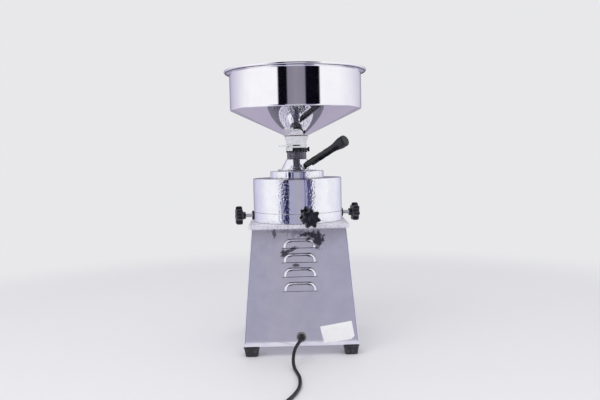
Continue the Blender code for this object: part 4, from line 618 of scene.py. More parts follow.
# Plug and strain relief

plugLook = {
    "length": 56.0,
    "tip": 4.2,
    "waist": 10.0,
    "rim": 18.0,
    "pinRadius": 2.4,
    "pinLength": 19.0,
    "pinPitch": 19.0,
}


def buildPlug(look, start):
    # along +X: a ribbed sleeve, a waist to grip, a round face, and two pins side by side
    ribs = np.linspace(2.5, 15.5, 53)
    tip, waist, rim, length = look["tip"], look["waist"], look["rim"], look["length"]
    sleeve = tip + 0.11 * ribs + 0.45 * np.cos(2 * np.pi * (ribs - 2.5) / 3.25)
    body = filletPath([
        (0.0, 0.0), (tip, 0.0, 0.5), (tip + 0.3, 2.0), *[(r, a) for a, r in zip(ribs, sleeve)],
        (7.0, 18.0, 3.0), (waist, 24.0, 6.0), (waist + 1.5, 31.0, 8.0), (rim, 38.5, 3.0), (rim, length, 1.2),
        (0.0, length),
    ]) * mm
    basis = np.array([(0, 1, 0), (0, 0, 1), (1, 0, 0)])
    origin = np.array(start) + (0, shaftY, 0)
    plug = makePiece("plugBody", [turnedAlong(body, 96, origin, basis)], finish["rubber"], "base",
                     ("plug",))
    r, end = look["pinRadius"], length + look["pinLength"]
    pin = filletPath([(0, length - 1), (r, length - 1), (r, end, 1.2), (0, end)]) * mm
    grids = [carried(turnedGrid(pin, 28, (side * look["pinPitch"] * mm, 0.0)), origin, *basis)
             for side in (-0.5, 0.5)]
    pins = makePiece("plugPins", grids, finish["brass"], "base", ("plug",))
    return plug, pins


def buildGland(look):
    # along the line square to the rear face: a flange, then a boot whose ribs shrink to the cord
    foot, outward = glandLine(look)
    ribs = np.linspace(5.2, 22.0, 71)
    boot = np.interp(ribs, (5.2, 22.0), (6.4, 4.6)) + 0.35 * np.cos(2 * np.pi * (ribs - 5.2) / 3.36)
    profile = filletPath([
        (0.0, -4.0), (5.9, -4.0, 0.5), (5.9, 3.0), (6.9, 3.2, 0.4), (6.8, 4.6, 0.4),
        *[(r, a) for a, r in zip(ribs, boot)],
        (4.8, 23.6, 0.5), (3.3, 24.0), (0.0, 23.4),
    ]) * mm
    basis = axisBasis(outward)
    rim = filletPath([(6.0, -3.6), (7.3, -3.6, 0.4), (7.3, 0.3), (9.8, 0.3, 0.6), (9.8, 3.3, 1.2), (6.2, 3.7, 0.6),
                      (6.0, 1.0)]) * mm
    makePiece("cordGrommet", [(turnedAlong(rim, 96, foot, basis), True)], finish["grommet"], "base",
              ("cord_gland",))
    makePiece("cordBoot", [turnedAlong(profile, 96, foot, basis)], finish["sheath"], "base",
              ("cord_gland",))


plugParts = buildPlug(plugLook, cordLook["plugStart"])
buildGland(cordLook)
cordLength = buildCord(cordLook, finish["sheath"], plugParts)
print(f"stage: cord, {cordLength:.3f} m")


# Hopper

hopperLook = {
    "spigot": 18.9, "spigotFoot": 425.3, "coneBend": 441.0, "coneFillet": 18.0,
    "wall": 138.2, "shoulder": 497.65, "shoulderFillet": 2.5, "flare": 573.0, "flareFillet": 2.5,
    "lipRadius": 145.2, "lipHeight": 575.3, "bead": 2.4, "rim": 150.0, "top": 579.5, "sheet": 1.2,
    "seam": (146.1, 147.5), "seamHeights": (573.7, 575.4),
}


def spreadPath(path, longest=4.0, near=0.35):
    # long straight runs get a point near each end, so that smooth shading stays in the bends
    out = [path[0]]
    for a, b in zip(path[:-1], path[1:]):
        run = np.linalg.norm(b - a)
        if run > longest:
            out += [a + (b - a) * near / run, a + (b - a) * 0.5, b - (b - a) * near / run]
        out.append(b)
    return np.array(out)


def sheetProfile(path, thickness):
    # the path offset by half the thickness to either side
    step = np.gradient(path, axis=0)
    step /= np.linalg.norm(step, axis=1, keepdims=True)
    side = np.stack([step[:, 1], -step[:, 0]], axis=1) * thickness / 2
    return path + side, path - side


def buildHopper(look):
    path = filletPath([
        (look["spigot"], look["spigotFoot"]),
        (look["spigot"], look["coneBend"], look["coneFillet"]),
        (look["wall"], look["shoulder"], look["shoulderFillet"]),
        (look["wall"], look["flare"], look["flareFillet"]),
        (look["lipRadius"], look["lipHeight"]),
    ], steps=14)
    path = spreadPath(path)
    outer, inner = sheetProfile(path, look["sheet"])
    centre = np.array([look["rim"] - look["bead"], look["top"] - look["bead"]])
    start = outer[-1] - centre
    end = inner[-1] - centre
    first, last = math.atan2(start[1], start[0]), math.atan2(end[1], end[0])
    if last <= first:
        last += 2 * math.pi
    roll = np.linspace(first + 0.35, last - 0.35, 30)
    bead = centre + look["bead"] * np.stack([np.cos(roll), np.sin(roll)], axis=1)
    profile = np.vstack([outer, bead, inner[::-1]]) * mm
    makePiece("spunHopper", [(turnedGrid(profile, 288), True)], finish["mirror"], "feed_hopper",
              ("hopper",), 50)


def buildRimSeam(look):
    # a dark ring where the rolled bead closes against the flare
    section = ringSection(*look["seam"], *look["seamHeights"], (0.5,) * 4)
    makePiece("rimSeam", [(turnedGrid(section * mm, 288), True)], finish["seamDark"], "feed_hopper")


buildHopper(hopperLook)
buildRimSeam(hopperLook)
print("stage: hopper")


# Grinding chamber

chamberLook = {
    "outer": 94.0, "wall": 6.0, "bowlBase": 262.9, "bowlHeight": 19.7, "floor": 3.0,
    "seam": 282.9, "ceiling": 349.6, "top": 353.6, "bossRadius": 57.0, "bossTop": 368.1,
    "bore": 36.3, "thickInner": 82.0, "thinInner": 86.4, "spigotOuter": 87.7, "spigotFoot": 271.1,
    "rimFillet": 1.8, "notchHalf": 24.0, "notchTop": 280.4, "sealBore": 20.3,
    "spoutHalf": 23.0, "spoutOpening": 13.7, "spoutWall": 2.5, "knee": 106.0, "reach": 175.0,
    "fall": math.radians(26.0),
}


def buildCover(look):
    notch = math.asin(look["notchHalf"] / look["spigotOuter"])
    wide = np.linspace(math.pi / 2 + notch, math.pi / 2 - notch + 2 * math.pi, 240)
    narrow = np.linspace(math.pi / 2 - notch, math.pi / 2 + notch, 26)
    angles = np.concatenate([wide, narrow])
    profile = filletPath([
        (look["bore"], look["bossTop"], 0.4),
        (look["bore"], look["ceiling"] - 4.0),
        (look["bore"] + 4.0, look["ceiling"] - 4.0),
        (look["bore"] + 8.0, look["ceiling"]),
        (look["thinInner"], look["ceiling"], 3.0),
        (look["thinInner"], look["seam"] + 12.4),
        (look["thickInner"], look["seam"] + 8.0),
        (look["thickInner"], look["spigotFoot"], 0.4),
        (look["spigotOuter"], look["spigotFoot"], 0.4),
        (look["spigotOuter"], look["seam"]),
        (look["outer"], look["seam"], 1.1),
        (look["outer"], look["top"], look["rimFillet"]),
        (look["bossRadius"], look["top"]),
        (look["bossRadius"], look["bossTop"], look["rimFillet"]),
    ], steps=5)
    profile = spreadPath(np.vstack([profile, profile[:1]]))[:-1]
    grid = turnedGrid(profile * mm, angles)
    low = grid[:, 240:, 2]
    low[:] = np.maximum(low, look["notchTop"] * mm)
    makePiece("upperCover", [(grid, True)], finish["casting"], "cover",
              ("upper_cover",), 30)


def holeEdge(grid, rows, columns):
    # the lattice points around the block of rows and columns, once round
    (a, b), (c, d) = rows, columns
    grid = np.concatenate([grid, grid[:, :1]], axis=1)
    down = grid[a, c:d + 1]
    side = grid[a + 1:b + 1, d]
    back = grid[b, c:d][::-1]
    up = grid[a + 1:b, c][::-1]
    return np.vstack([down, side, back, up])


def spoutRings(look, edge, half, low, high, bend, stations):
    # the edge's own points, then the same points as (x, height) carried along the spout:
    # level to the knee, then down at the angle of fall
    axisLow = look["bowlBase"] + look["floor"]
    x, z = edge[:, 0] / mm, edge[:, 2] / mm - axisLow
    middle, tall = (low + high) / 2, (high - low) / 2
    u, v = x, z - middle
    over = np.stack([np.abs(u) - (half - bend), np.abs(v) - (tall - bend)], axis=1)
    corner = (over > 0).all(axis=1)
    reach = np.linalg.norm(np.maximum(over, 1e-9), axis=1)
    u = np.where(corner, np.sign(u) * (half - bend + bend * over[:, 0] / reach), u)
    v = np.where(corner, np.sign(v) * (tall - bend + bend * over[:, 1] / reach), v)
    rings = [edge / mm - (0, shaftY / mm, 0)]
    fall = look["fall"]
    for along, turn in stations:
        # along is counted on the floor line; turn is how far the section has swung down
        knee = look["knee"]
        y0 = min(along, knee) + max(along - knee, 0) * math.cos(fall)
        z0 = axisLow - max(along - knee, 0) * math.sin(fall)
        ring = np.stack([u, y0 + (v + middle) * math.sin(turn), z0 + (v + middle) * math.cos(turn)], axis=1)
        rings.append(ring)
    return np.stack(rings) * mm + (0, shaftY, 0)


def buildBowl(look):
    outerHalf = look["spoutHalf"] + look["spoutWall"]
    base = look["bowlBase"]
    floor = base + look["floor"]
    rim = base + look["bowlHeight"]
    # the opening takes up a block of cells by cells faces, after the wall's other columns
    cells, begin = 14, 220
    ease = np.sin(np.linspace(-np.pi / 2, np.pi / 2, cells + 1)) * 0.5 + 0.5

    def wallGrid(radius, half, low, high, ends):
        # rows up the wall, columns around it, with the opening's edges on the lattice
        reach = math.asin(half / radius)
        around = np.concatenate([
            np.linspace(math.pi / 2 + reach, math.pi / 2 - reach + 2 * math.pi, begin + 1)[:-1],
            math.pi / 2 - reach + 2 * reach * ease[:-1],
        ])
        levels = np.concatenate([ends[0], low + (high - low) * ease, ends[1]])
        profile = np.stack([np.full(len(levels), radius), levels], axis=1)
        return turnedGrid(profile * mm, around), len(ends[0])

    outer, first = wallGrid(look["outer"], outerHalf, floor - look["spoutWall"],
                            floor + look["spoutOpening"] + look["spoutWall"], ((base + 0.4,), (rim - 0.4,)))
    inner, start = wallGrid(look["outer"] - look["wall"], look["spoutHalf"], floor, floor + look["spoutOpening"],
                            ((), (rim - 0.2,)))
    columns = outer.shape[1]
    hole = np.ones((outer.shape[0] - 1, columns), bool)
    hole[first:first + cells, begin:begin + cells] = False
    well = np.ones((inner.shape[0] - 1, columns), bool)
    well[start:start + cells, begin:begin + cells] = False
    angles = np.arctan2(outer[0, :, 1] - shaftY, outer[0, :, 0])

    def ringAt(radius, level, turn):
        return turnedGrid(np.array([(radius, level)]) * mm, turn)[0]

    innerAngles = np.arctan2(inner[0, :, 1] - shaftY, inner[0, :, 0])
    bottom = np.stack([outer[0], ringAt(look["outer"] - 0.4, base, angles),
                       ringAt(look["sealBore"], base, angles), ringAt(look["sealBore"], floor, innerAngles),
                       ringAt(look["outer"] - look["wall"] - 3, floor, innerAngles), inner[0]])
    top = np.stack([outer[-1], ringAt(look["outer"] - 0.4, rim, angles),
                    ringAt(look["outer"] - look["wall"] + 0.2, rim, innerAngles), inner[-1]])
    edge = holeEdge(outer, (first, first + cells), (begin, begin + cells))
    lining = holeEdge(inner, (start, start + cells), (begin, begin + cells))
    knee, fall = look["knee"], look["fall"]
    length = (look["reach"] - 8.2 - knee) / math.cos(fall)
    bends = [(knee - 2, 0.0)] + [(knee - 1 + 2 * k / 6, fall * k / 6) for k in range(7)]
    stations = [(96.5, 0.0)] + bends + [(knee + length - 0.5, fall)]
    shell = spoutRings(look, edge, outerHalf, -look["spoutWall"], look["spoutOpening"] + look["spoutWall"],
                       3.0, stations + [(knee + length, fall)])
    channel = spoutRings(look, lining, look["spoutHalf"], 0.0, look["spoutOpening"], 1.0,
                         stations + [(knee + length, fall)])
    mouth = np.stack([shell[-1], channel[-1]])
    makePiece("lowerBowl", [
        (outer, False, hole), (inner, False, well), bottom, top, shell, channel, mouth,
    ], finish["casting"], "base", ("lower_bowl",), 30)


buildCover(chamberLook)
buildBowl(chamberLook)
print("stage: chamber")


# Clamp screws and star knobs

clampLook = {
    "azimuths": (10.5, 100.0, -80.0), "level": 276.6, "start": 112.6, "length": 21.0,
    "peak": 20.0, "valley": 14.5, "points": 7, "pointedness": 1.2,
    "hub": 7.5, "rod": 4.0, "pitch": 1.25, "threadDepth": 0.35, "screwFrom": 88.0, "screwTo": 126.4,
    "ringFrom": 94.2, "ringTo": 98.2, "ringBore": 4.3, "ringRadius": 9.6,
}


def azimuthAxis(degrees):
    a = math.radians(degrees)
    return np.array([math.sin(a), -math.cos(a), 0.0])


def buildKnob(look, number, azimuth):
    # radius(angle, a) = hub + share(a) (star(angle) - hub), with star between valley and peak
    angles = np.linspace(0, 2 * np.pi, 7 * 26, endpoint=False)
    wave = (1 + np.cos(look["points"] * angles)) / 2
    star = look["valley"] + (look["peak"] - look["valley"]) * wave ** look["pointedness"]
    #         along, share of the star, scale
    rows = np.array([
        (0.0, 0.0, 0.0), (0.0, 0.0, 0.96), (0.4, 0.0, 1.0), (5.2, 0.0, 1.10), (6.2, 0.0, 1.22),
        (6.6, 0.15, 1.30), (6.9, 0.62, 1.06), (7.1, 0.90, 0.965), (7.7, 0.98, 0.965), (8.6, 1.0, 0.985),
        (10.5, 1.0, 1.0), (16.6, 1.0, 1.0), (18.2, 1.0, 0.985), (19.5, 1.0, 0.955), (20.3, 1.0, 0.90),
        (20.75, 1.0, 0.82), (21.0, 0.92, 0.68), (20.9, 0.6, 0.5), (20.3, 0.25, 0.5), (20.1, 0.0, 0.6),
        (20.0, 0.0, 0.0),
    ])
    along, share, scale = rows[:, :1], rows[:, 1:2], rows[:, 2:3]
    radius = scale * (share * star + (1 - share) * look["hub"])
    across, upward, out = axisBasis(azimuthAxis(azimuth))
    origin = np.array([0, shaftY, look["level"] * mm]) + out * look["start"] * mm
    shape = carried(spunPoints(radius, angles, along), origin, upward, -across, out)
    return makePiece(f"starKnob{number}", [shape], finish["phenolic"], f"knob_{number}",
                     (f"star_knob_{number}",), 60)


def buildScrew(look, number, azimuth):
    # a rod whose radius falls by the thread's depth along a spiral of the thread's pitch
    along = np.arange(look["screwFrom"], look["screwTo"], 0.18)
    angles = np.linspace(0, 2 * np.pi, 28, endpoint=False)
    phase = (along[:, None] / look["pitch"] - angles / (2 * np.pi)) % 1.0
    radius = look["rod"] - look["threadDepth"] * (1 - np.abs(2 * phase - 1)) * 2
    radius = np.minimum(radius, look["rod"])
    taper = np.clip((along - look["screwFrom"]) / 1.2, 0.0, 1.0)[:, None]
    radius = np.minimum(radius, look["rod"] - 1.2 * (1 - taper))
    radius = np.vstack([np.zeros((1, 28)), radius, np.zeros((1, 28))])
    along = np.concatenate([along[:1], along, along[-1:]])[:, None]
    shape = carried(spunPoints(radius, angles, along), (0, shaftY, look["level"] * mm),
                    *axisBasis(azimuthAxis(azimuth)))
    return makePiece(f"clampScrew{number}", [shape], finish["steel"], f"clamp_{number}",
                     (f"clamp_screw_{number}",), 70)


def buildStopRing(look, number, azimuth):
    # a rubber ring on each screw, against the bowl's wall
    near, far, bore, radius = look["ringFrom"], look["ringTo"], look["ringBore"], look["ringRadius"]
    section = ringSection(bore, radius, near, far, (0.3, 0.6, 0.9, 0.3)) * mm
    shape = turnedAlong(section, 64, (0, shaftY, look["level"] * mm), axisBasis(azimuthAxis(azimuth)))
    return makePiece(f"stopRing{number}", [(shape, True)], finish["rubber"], "base", ())


for number, azimuth in enumerate(clampLook["azimuths"], 1):
    for build in (buildKnob, buildScrew, buildStopRing):
        piece = build(clampLook, number, azimuth)
        piece.visible_glossy = abs(azimuth) < 45  # the side ones don't darken the chamber's edges
print("stage: clamps")


# Adjuster, lever, neck and gate

headLook = {
    "rimBase": 370.2, "rim": 40.5, "rimHeight": 2.0, "coneFoot": 33.2, "coneTop": 22.3, "coneTopHeight": 392.7,
    "tube": 20.6, "tubeTop": 416.7, "tubeBore": 18.0, "feedBore": 16.0, "drum": 36.0, "drumBase": 341.8,
    "neckSeat": 400.7, "leverAzimuth": 45.5, "leverRise": 25.0, "leverStart": 33.5, "leverHeight": 382.0,
    "neckBase": 417.0, "neck": 21.4, "slotLow": 420.6, "slotHigh": 423.4, "grip": 7.85, "gripEnd": 11.65,
}


def buildAdjuster(look):
    profile = filletPath([
        (look["feedBore"], look["drumBase"]),
        (look["drum"], look["drumBase"], 0.5),
        (look["drum"], look["rimBase"]),
        (look["rim"], look["rimBase"], 0.5),
        (look["rim"], look["rimBase"] + look["rimHeight"], 0.8),
        (look["coneFoot"], look["rimBase"] + look["rimHeight"], 1.0),
        (look["coneTop"], look["coneTopHeight"], 0.8),
        (look["tube"] - 0.3, look["coneTopHeight"] + 0.6),
        (look["feedBore"], look["coneTopHeight"] + 0.6),
    ], steps=4)
    profile = spreadPath(np.vstack([profile, profile[:1]]))[:-1] * mm
    makePiece("adjusterBody", [(turnedGrid(profile, 224), True)], finish["castingWithPaintedReflection"],
              "adjuster_head", ("adjuster",), 30)
    tube = filletPath([
        (look["feedBore"], look["coneTopHeight"] + 0.7),
        (look["tube"], look["coneTopHeight"] + 0.7, 0.4),
        (look["tube"], look["tubeTop"], 0.5),
        (look["tubeBore"], look["tubeTop"]),
        (look["tubeBore"], look["neckSeat"]),
        (look["feedBore"], look["neckSeat"]),
    ], steps=4)
    tube = spreadPath(np.vstack([tube, tube[:1]]))[:-1] * mm
    makePiece("adjusterTube", [(turnedGrid(tube, 160), True)], finish["darkCasting"],
              "adjuster_head", ("adjuster",), 30)


def leverLine(look):
    # the lever's start, and its direction: outward at its azimuth, rising
    out = azimuthAxis(look["leverAzimuth"])
    rise = math.radians(look["leverRise"])
    origin = np.array([0, shaftY, look["leverHeight"] * mm]) + out * look["leverStart"] * mm
    return origin, out * math.cos(rise) + np.array([0, 0, math.sin(rise)])


lugLook = {
    "root": 26.0, "tip": 49.6, "lift": 0.3, "height": 13.4, "droop": 3.0, "halfWidth": 5.4, "narrowing": 0.25,
    "gripClearance": 0.6, "gripFrom": -7.5,
}


def buildLug(look, lug):
    # a saddle under the lever: sections across the lever's azimuth, from root to reach, whose
    # flanks lean in, with the grip's own hollow in its top
    out = azimuthAxis(look["leverAzimuth"])
    side = np.array([-out[1], out[0], 0.0])
    origin, direction = leverLine(look)
    steps = np.linspace(0, 1, 15)
    reach = lug["root"] + (lug["tip"] - lug["root"]) * np.sin(steps * np.pi / 2)
    low = look["rimBase"] + lug["lift"]
    # the top falls slowly, then faster over the last few millimetres
    tops = low + lug["height"] - lug["droop"] * steps ** 3 - np.maximum(reach - 46, 0) ** 1.5 * 0.5
    angle = np.linspace(0, 1, 25)
    rings = []
    for r, top in zip(reach, tops):
        half = lug["halfWidth"] * (1 - lug["narrowing"] * ((r - lug["root"]) / 24) ** 3)
        across = half * np.clip((angle - 0.5) * 2.4, -1, 1)
        lean = 1 - 0.2 * np.clip(np.abs(angle - 0.5) * -2.4 + 1.2, 0, 1)
        height = low + (top - low) * np.clip((0.5 - np.abs(angle - 0.5)) * 12, 0, 1)
        across = across * np.where(height > low + 1, lean, 1.0)
        rings.append(np.stack([across, np.full(25, r), height], axis=1))
    local = np.stack(rings)
    # hollow: points nearer to the lever's line than the grip's radius are pushed down off it
    world = np.array([0, shaftY, 0]) + (local[..., :1] * side + local[..., 1:2] * out) * mm
    world = world + local[..., 2:] * np.array([0, 0, 1]) * mm
    offset = world - origin
    along = offset @ direction
    upward = np.cross(side, direction)
    upward = upward if upward[2] > 0 else -upward
    a, b = offset @ side, offset @ upward
    clear = (look["grip"] + lug["gripClearance"]) * mm
    seat = np.where(np.abs(a) < clear, -np.sqrt(np.maximum(clear ** 2 - a ** 2, 0)), 0.0)
    lower = (np.abs(a) < clear) & (b > seat) & (along > lug["gripFrom"] * mm)
    world = world - np.where(lower, b - seat, 0.0)[..., None] * upward
    makePiece("leverLug", [closedEnds(world)], finish["casting"], "adjuster_head",
              ("adjuster",), 40)


def buildLever(look):
    origin, direction = leverLine(look)
    basis = axisBasis(direction)
    rod = filletPath([(0, -9.0), (5.0, -9.0), (5.0, 89.0, 0.5), (0, 89.0)]) * mm
    makePiece("leverRod", [turnedAlong(rod, 64, origin, basis)], finish["steel"], "adjuster_head",
              ("lever_rod",))
    thin, thick = look["grip"], look["gripEnd"]
    grip = filletPath([
        (5.2, 6.0), (5.2, -5.4), (thin, -5.4, 2.6), (thin, 78.0, 40.0), (thick, 98.0, 12.0),
        (thick, 112.0, 3.2), (0.0, 112.0),
    ], steps=12)
    first = np.argmax(grip[:, 0] > thin - 0.05)
    last = first + np.argmax(grip[first:, 0] > thin + 0.05)
    along = np.linspace(grip[first, 1] + 1, grip[last, 1] - 1, 60)
    waved = np.stack([thin - 0.16 * (1 - np.cos(2 * np.pi * along / 19.0)), along], axis=1)
    grip = np.vstack([grip[:first + 1], waved, grip[last:]])
    grip[-1] = (0.0, 112.0)
    makePiece("leverGrip", [turnedAlong(grip * mm, 128, origin, basis)], finish["phenolic"], "adjuster_head",
              ("lever_grip",))


def buildNeck(look):
    base, radius = look["neckBase"], look["neck"]
    lower = filletPath([
        (15.0, 401.0), (17.7, 401.0, 0.4), (17.7, base), (radius, base, 0.3), (radius, look["slotLow"], 0.3),
        (8.0, look["slotLow"]), (15.0, 413.5),
    ], steps=4) * mm
    upper = filletPath([
        (8.0, look["slotHigh"]), (radius, look["slotHigh"], 0.3), (radius, base + 10.4, 6.0),
        (22.4, base + 15.3, 6.0), (24.4, base + 20.5, 6.0), (26.8, base + 24.7, 0.5),
        (25.4, base + 24.2), (20.2, base + 15.0, 4.0), (19.8, base + 8.0), (17.0, base + 8.0),
    ], steps=4) * mm
    # the bridge: the part of the disc beyond the slot's end, from its lower to its upper face
    end = 8.7 / radius
    turn = np.linspace(-math.acos(end), math.acos(end), 40)
    chord = np.linspace(1, -1, 12)[1:-1] * radius * math.sin(math.acos(end))
    loop = np.vstack([radius * np.stack([np.cos(turn), np.sin(turn)], axis=1),
                      np.stack([np.full(10, 8.7), chord], axis=1)]) * mm + (0, shaftY)
    middle = np.broadcast_to(loop.mean(axis=0), loop.shape)
    levels = [(middle, look["slotLow"] - 0.05), (loop, look["slotLow"] - 0.05),
              (loop, look["slotHigh"] + 0.05), (middle, look["slotHigh"] + 0.05)]
    bridge = np.stack([np.column_stack([ring, np.full(len(ring), z * mm)]) for ring, z in levels])
    skirt = arcGrid(20.9, 22.8, 410.7, 417.6, 203.5, 336.5, 60, 0.5)
    makePiece("hopperNeck", [
        (turnedGrid(lower, 160), True), (turnedGrid(upper, 160), True), bridge, skirt,
    ], finish["white"], "adjuster_head", ("hopper_neck",))
    # a dark strip of painted shade closes the far side of the gate's slot, so that the slit reads dark, outside
    # the gate's own path
    makePiece("slotShadeStrip", [arcGrid(21.0, 21.35, look["slotLow"] + 0.05, look["slotHigh"] - 0.05, 159.5, 200.5, 24,
                                   0.1)], finish["rubber"], "adjuster_head", ())


def arcGrid(inner, outer, low, high, start, end, steps, edge, ribs=0, depth=0.0):
    # part of a ring between two azimuths, its section's corners rounded, its ends closed;
    # ribs are waves of the outer wall along the angle
    section = ringSection(inner, outer, low, high, (0, edge, edge, 0), steps=4)
    turn = np.radians(np.linspace(start, end, steps))
    wave = depth * (0.5 - 0.5 * np.cos(2 * np.pi * ribs * np.linspace(0, 1, steps))) if ribs else 0 * turn
    radius = section[:, 0] - wave[:, None] * (section[:, 0] > (inner + outer) / 2)
    x = radius * np.sin(turn)[:, None]
    y = -radius * np.cos(turn)[:, None]
    points = np.stack([x, y, np.broadcast_to(section[:, 1], x.shape)], axis=2) * mm + (0, shaftY, 0)
    return closedEnds(points)


collarLook = {
    "bore": 20.9, "radius": 23.2, "low": 410.7, "beltTop": 413.2, "top": 416.7, "from": -22.0, "to": 202.0,
    "ribs": 30, "ribDepth": 0.7, "teeth": 16, "toothDepth": 2.6, "screwHeight": 413.7,
}


def buildCollar(look):
    # a smooth band above, and below it a belt of small ribs to grip
    bore, radius, start, end = look["bore"], look["radius"], look["from"], look["to"]
    band = arcGrid(bore, radius, look["beltTop"] - 0.2, look["top"], start, end, 120, 0.4)
    belt = arcGrid(bore, radius, look["low"], look["beltTop"], start, end, look["ribs"] * 12 + 1, 0.3,
                   look["ribs"], look["ribDepth"])
    makePiece("lockCollar", [band, belt], finish["phenolic"], "adjuster_head",
              ("lock_collar",), 40)
    teeth = arcGrid(19.8, 22.7, 407.5, 410.5, 0.0, 360.0, look["teeth"] * 14 + 1, 0.5, look["teeth"],
                    look["toothDepth"])
    makePiece("gripTeeth", [teeth], finish["phenolic"], "adjuster_head", (), 60)
    angles = np.linspace(0, 2 * np.pi, 96, endpoint=False)
    knurl = 1 + 0.05 * np.cos(16 * angles)
    rows = np.array([(0.0, 20.9, 0), (2.0, 20.9, 0), (2.0, 23.5, 0), (4.3, 23.5, 1), (4.7, 23.9, 1),
                     (4.7, 27.1, 1), (4.3, 27.5, 1), (2.6, 27.5, 0), (2.2, 27.1, 0), (0.0, 27.1, 0)])
    radius = rows[:, :1] * np.where(rows[:, 2:3] > 0, knurl, 1.0)
    shape = carried(spunPoints(radius, angles, rows[:, 1:2]), (0, shaftY, look["screwHeight"] * mm),
                    (0, 1, 0), (0, 0, 1), (1, 0, 0))
    makePiece("thumbScrew", [shape], finish["phenolic"], "adjuster_head",
              ("thumb_screw",))


gateLook = {
    "inner": -8.4, "shoulder": -24.4, "outer": -38.0, "half": 19.5, "tabHalf": 8.0, "low": 420.9, "high": 422.4,
}


def buildGate(look):
    # a flat tongue: its outline shrunk a little at both faces for the moulded edge
    inner, shoulder, outer, half, tab = (look[key] for key in ("inner", "shoulder", "outer", "half", "tabHalf"))
    low, high = look["low"], look["high"]
    outline = filletPath([
        (inner, -half, 0.5), (inner, half, 0.5), (shoulder, half, 6.0), (outer, tab, 4.0), (outer, -tab, 4.0),
        (shoulder, -half, 6.0),
    ], steps=8)
    middle = np.array([-22.0, 0.0])
    rings = []
    for z, inset in ((low, 1e6), (low, 0.3), (low + 0.2, 0.0), (high - 0.2, 0.0), (high, 0.3), (high, 1e6)):
        away = outline - middle
        length = np.linalg.norm(away, axis=1, keepdims=True)
        ring = middle + away * np.maximum(1 - inset / length, 0)
        rings.append(np.column_stack([ring, np.full(len(ring), z)]))
    shape = np.stack(rings) * mm + (0, shaftY, 0)
    makePiece("feedGate", [shape], finish["white"], "gate",
              ("feed_gate",))


washerLook = {"bore": 36.6, "radius": 40.5, "low": 368.4, "high": 369.9, "edge": 0.2}


def buildWasher(look):
    bore, radius, low, high, edge = look.values()
    ring = ringSection(bore, radius, low, high, (edge,) * 4) * mm
    makePiece("thrustWasher", [(turnedGrid(ring, 160), True)], finish["steel"], "washer",
              ("thrust_washer",))


buildAdjuster(headLook)
buildLug(headLook, lugLook)
buildLever(headLook)
buildNeck(headLook)
buildCollar(collarLook)
buildGate(gateLook)
buildWasher(washerLook)
print("stage: adjuster and neck")


# Housing

housingLook = {
    "low": 20.3, "height": 234.0, "bottomHalf": 116.0, "topHalf": 96.0, "corner": 2.6, "sheet": 1.2,
    "topLip": 16.0, "bottomLip": 32.0,
    "louvres": 4, "louvreWidth": 64.6, "louvreHeight": 18.2, "louvreCorner": 15.5, "louvreDepth": 3.6,
    "louvreRise": 5.0, "louvreLow": 109.8, "louvrePitch": 28.8,
    "switchHeight": 52.0, "sleeveHalfWidth": 14.1, "sleeveHalfTall": 11.1,
}


def louvrePress(look, across, along):
    # How far the rear face stands out: 0 on the flat, the full depth inside each D, with a cosine
    # flank along its sides and top; d is the distance in from the D's edge.
    out = np.zeros_like(across)
    for k in range(look["louvres"]):
        low = look["louvreLow"] + k * look["louvrePitch"]
        qx = np.abs(across) - (look["louvreWidth"] / 2 - look["louvreCorner"])
        qy = along - low - (look["louvreHeight"] - look["louvreCorner"])
        inside = look["louvreCorner"] - (np.hypot(np.maximum(qx, 0), np.maximum(qy, 0))
                                         + np.minimum(np.maximum(qx, qy), 0))
        press = look["louvreDepth"] * (1 - np.cos(np.pi * np.clip(inside / look["louvreRise"], 0, 1))) / 2
        here = along >= low + 1e-6
        out = np.where(here & (along < low + look["louvreHeight"] + 0.1), np.maximum(out, press), out)
    return out


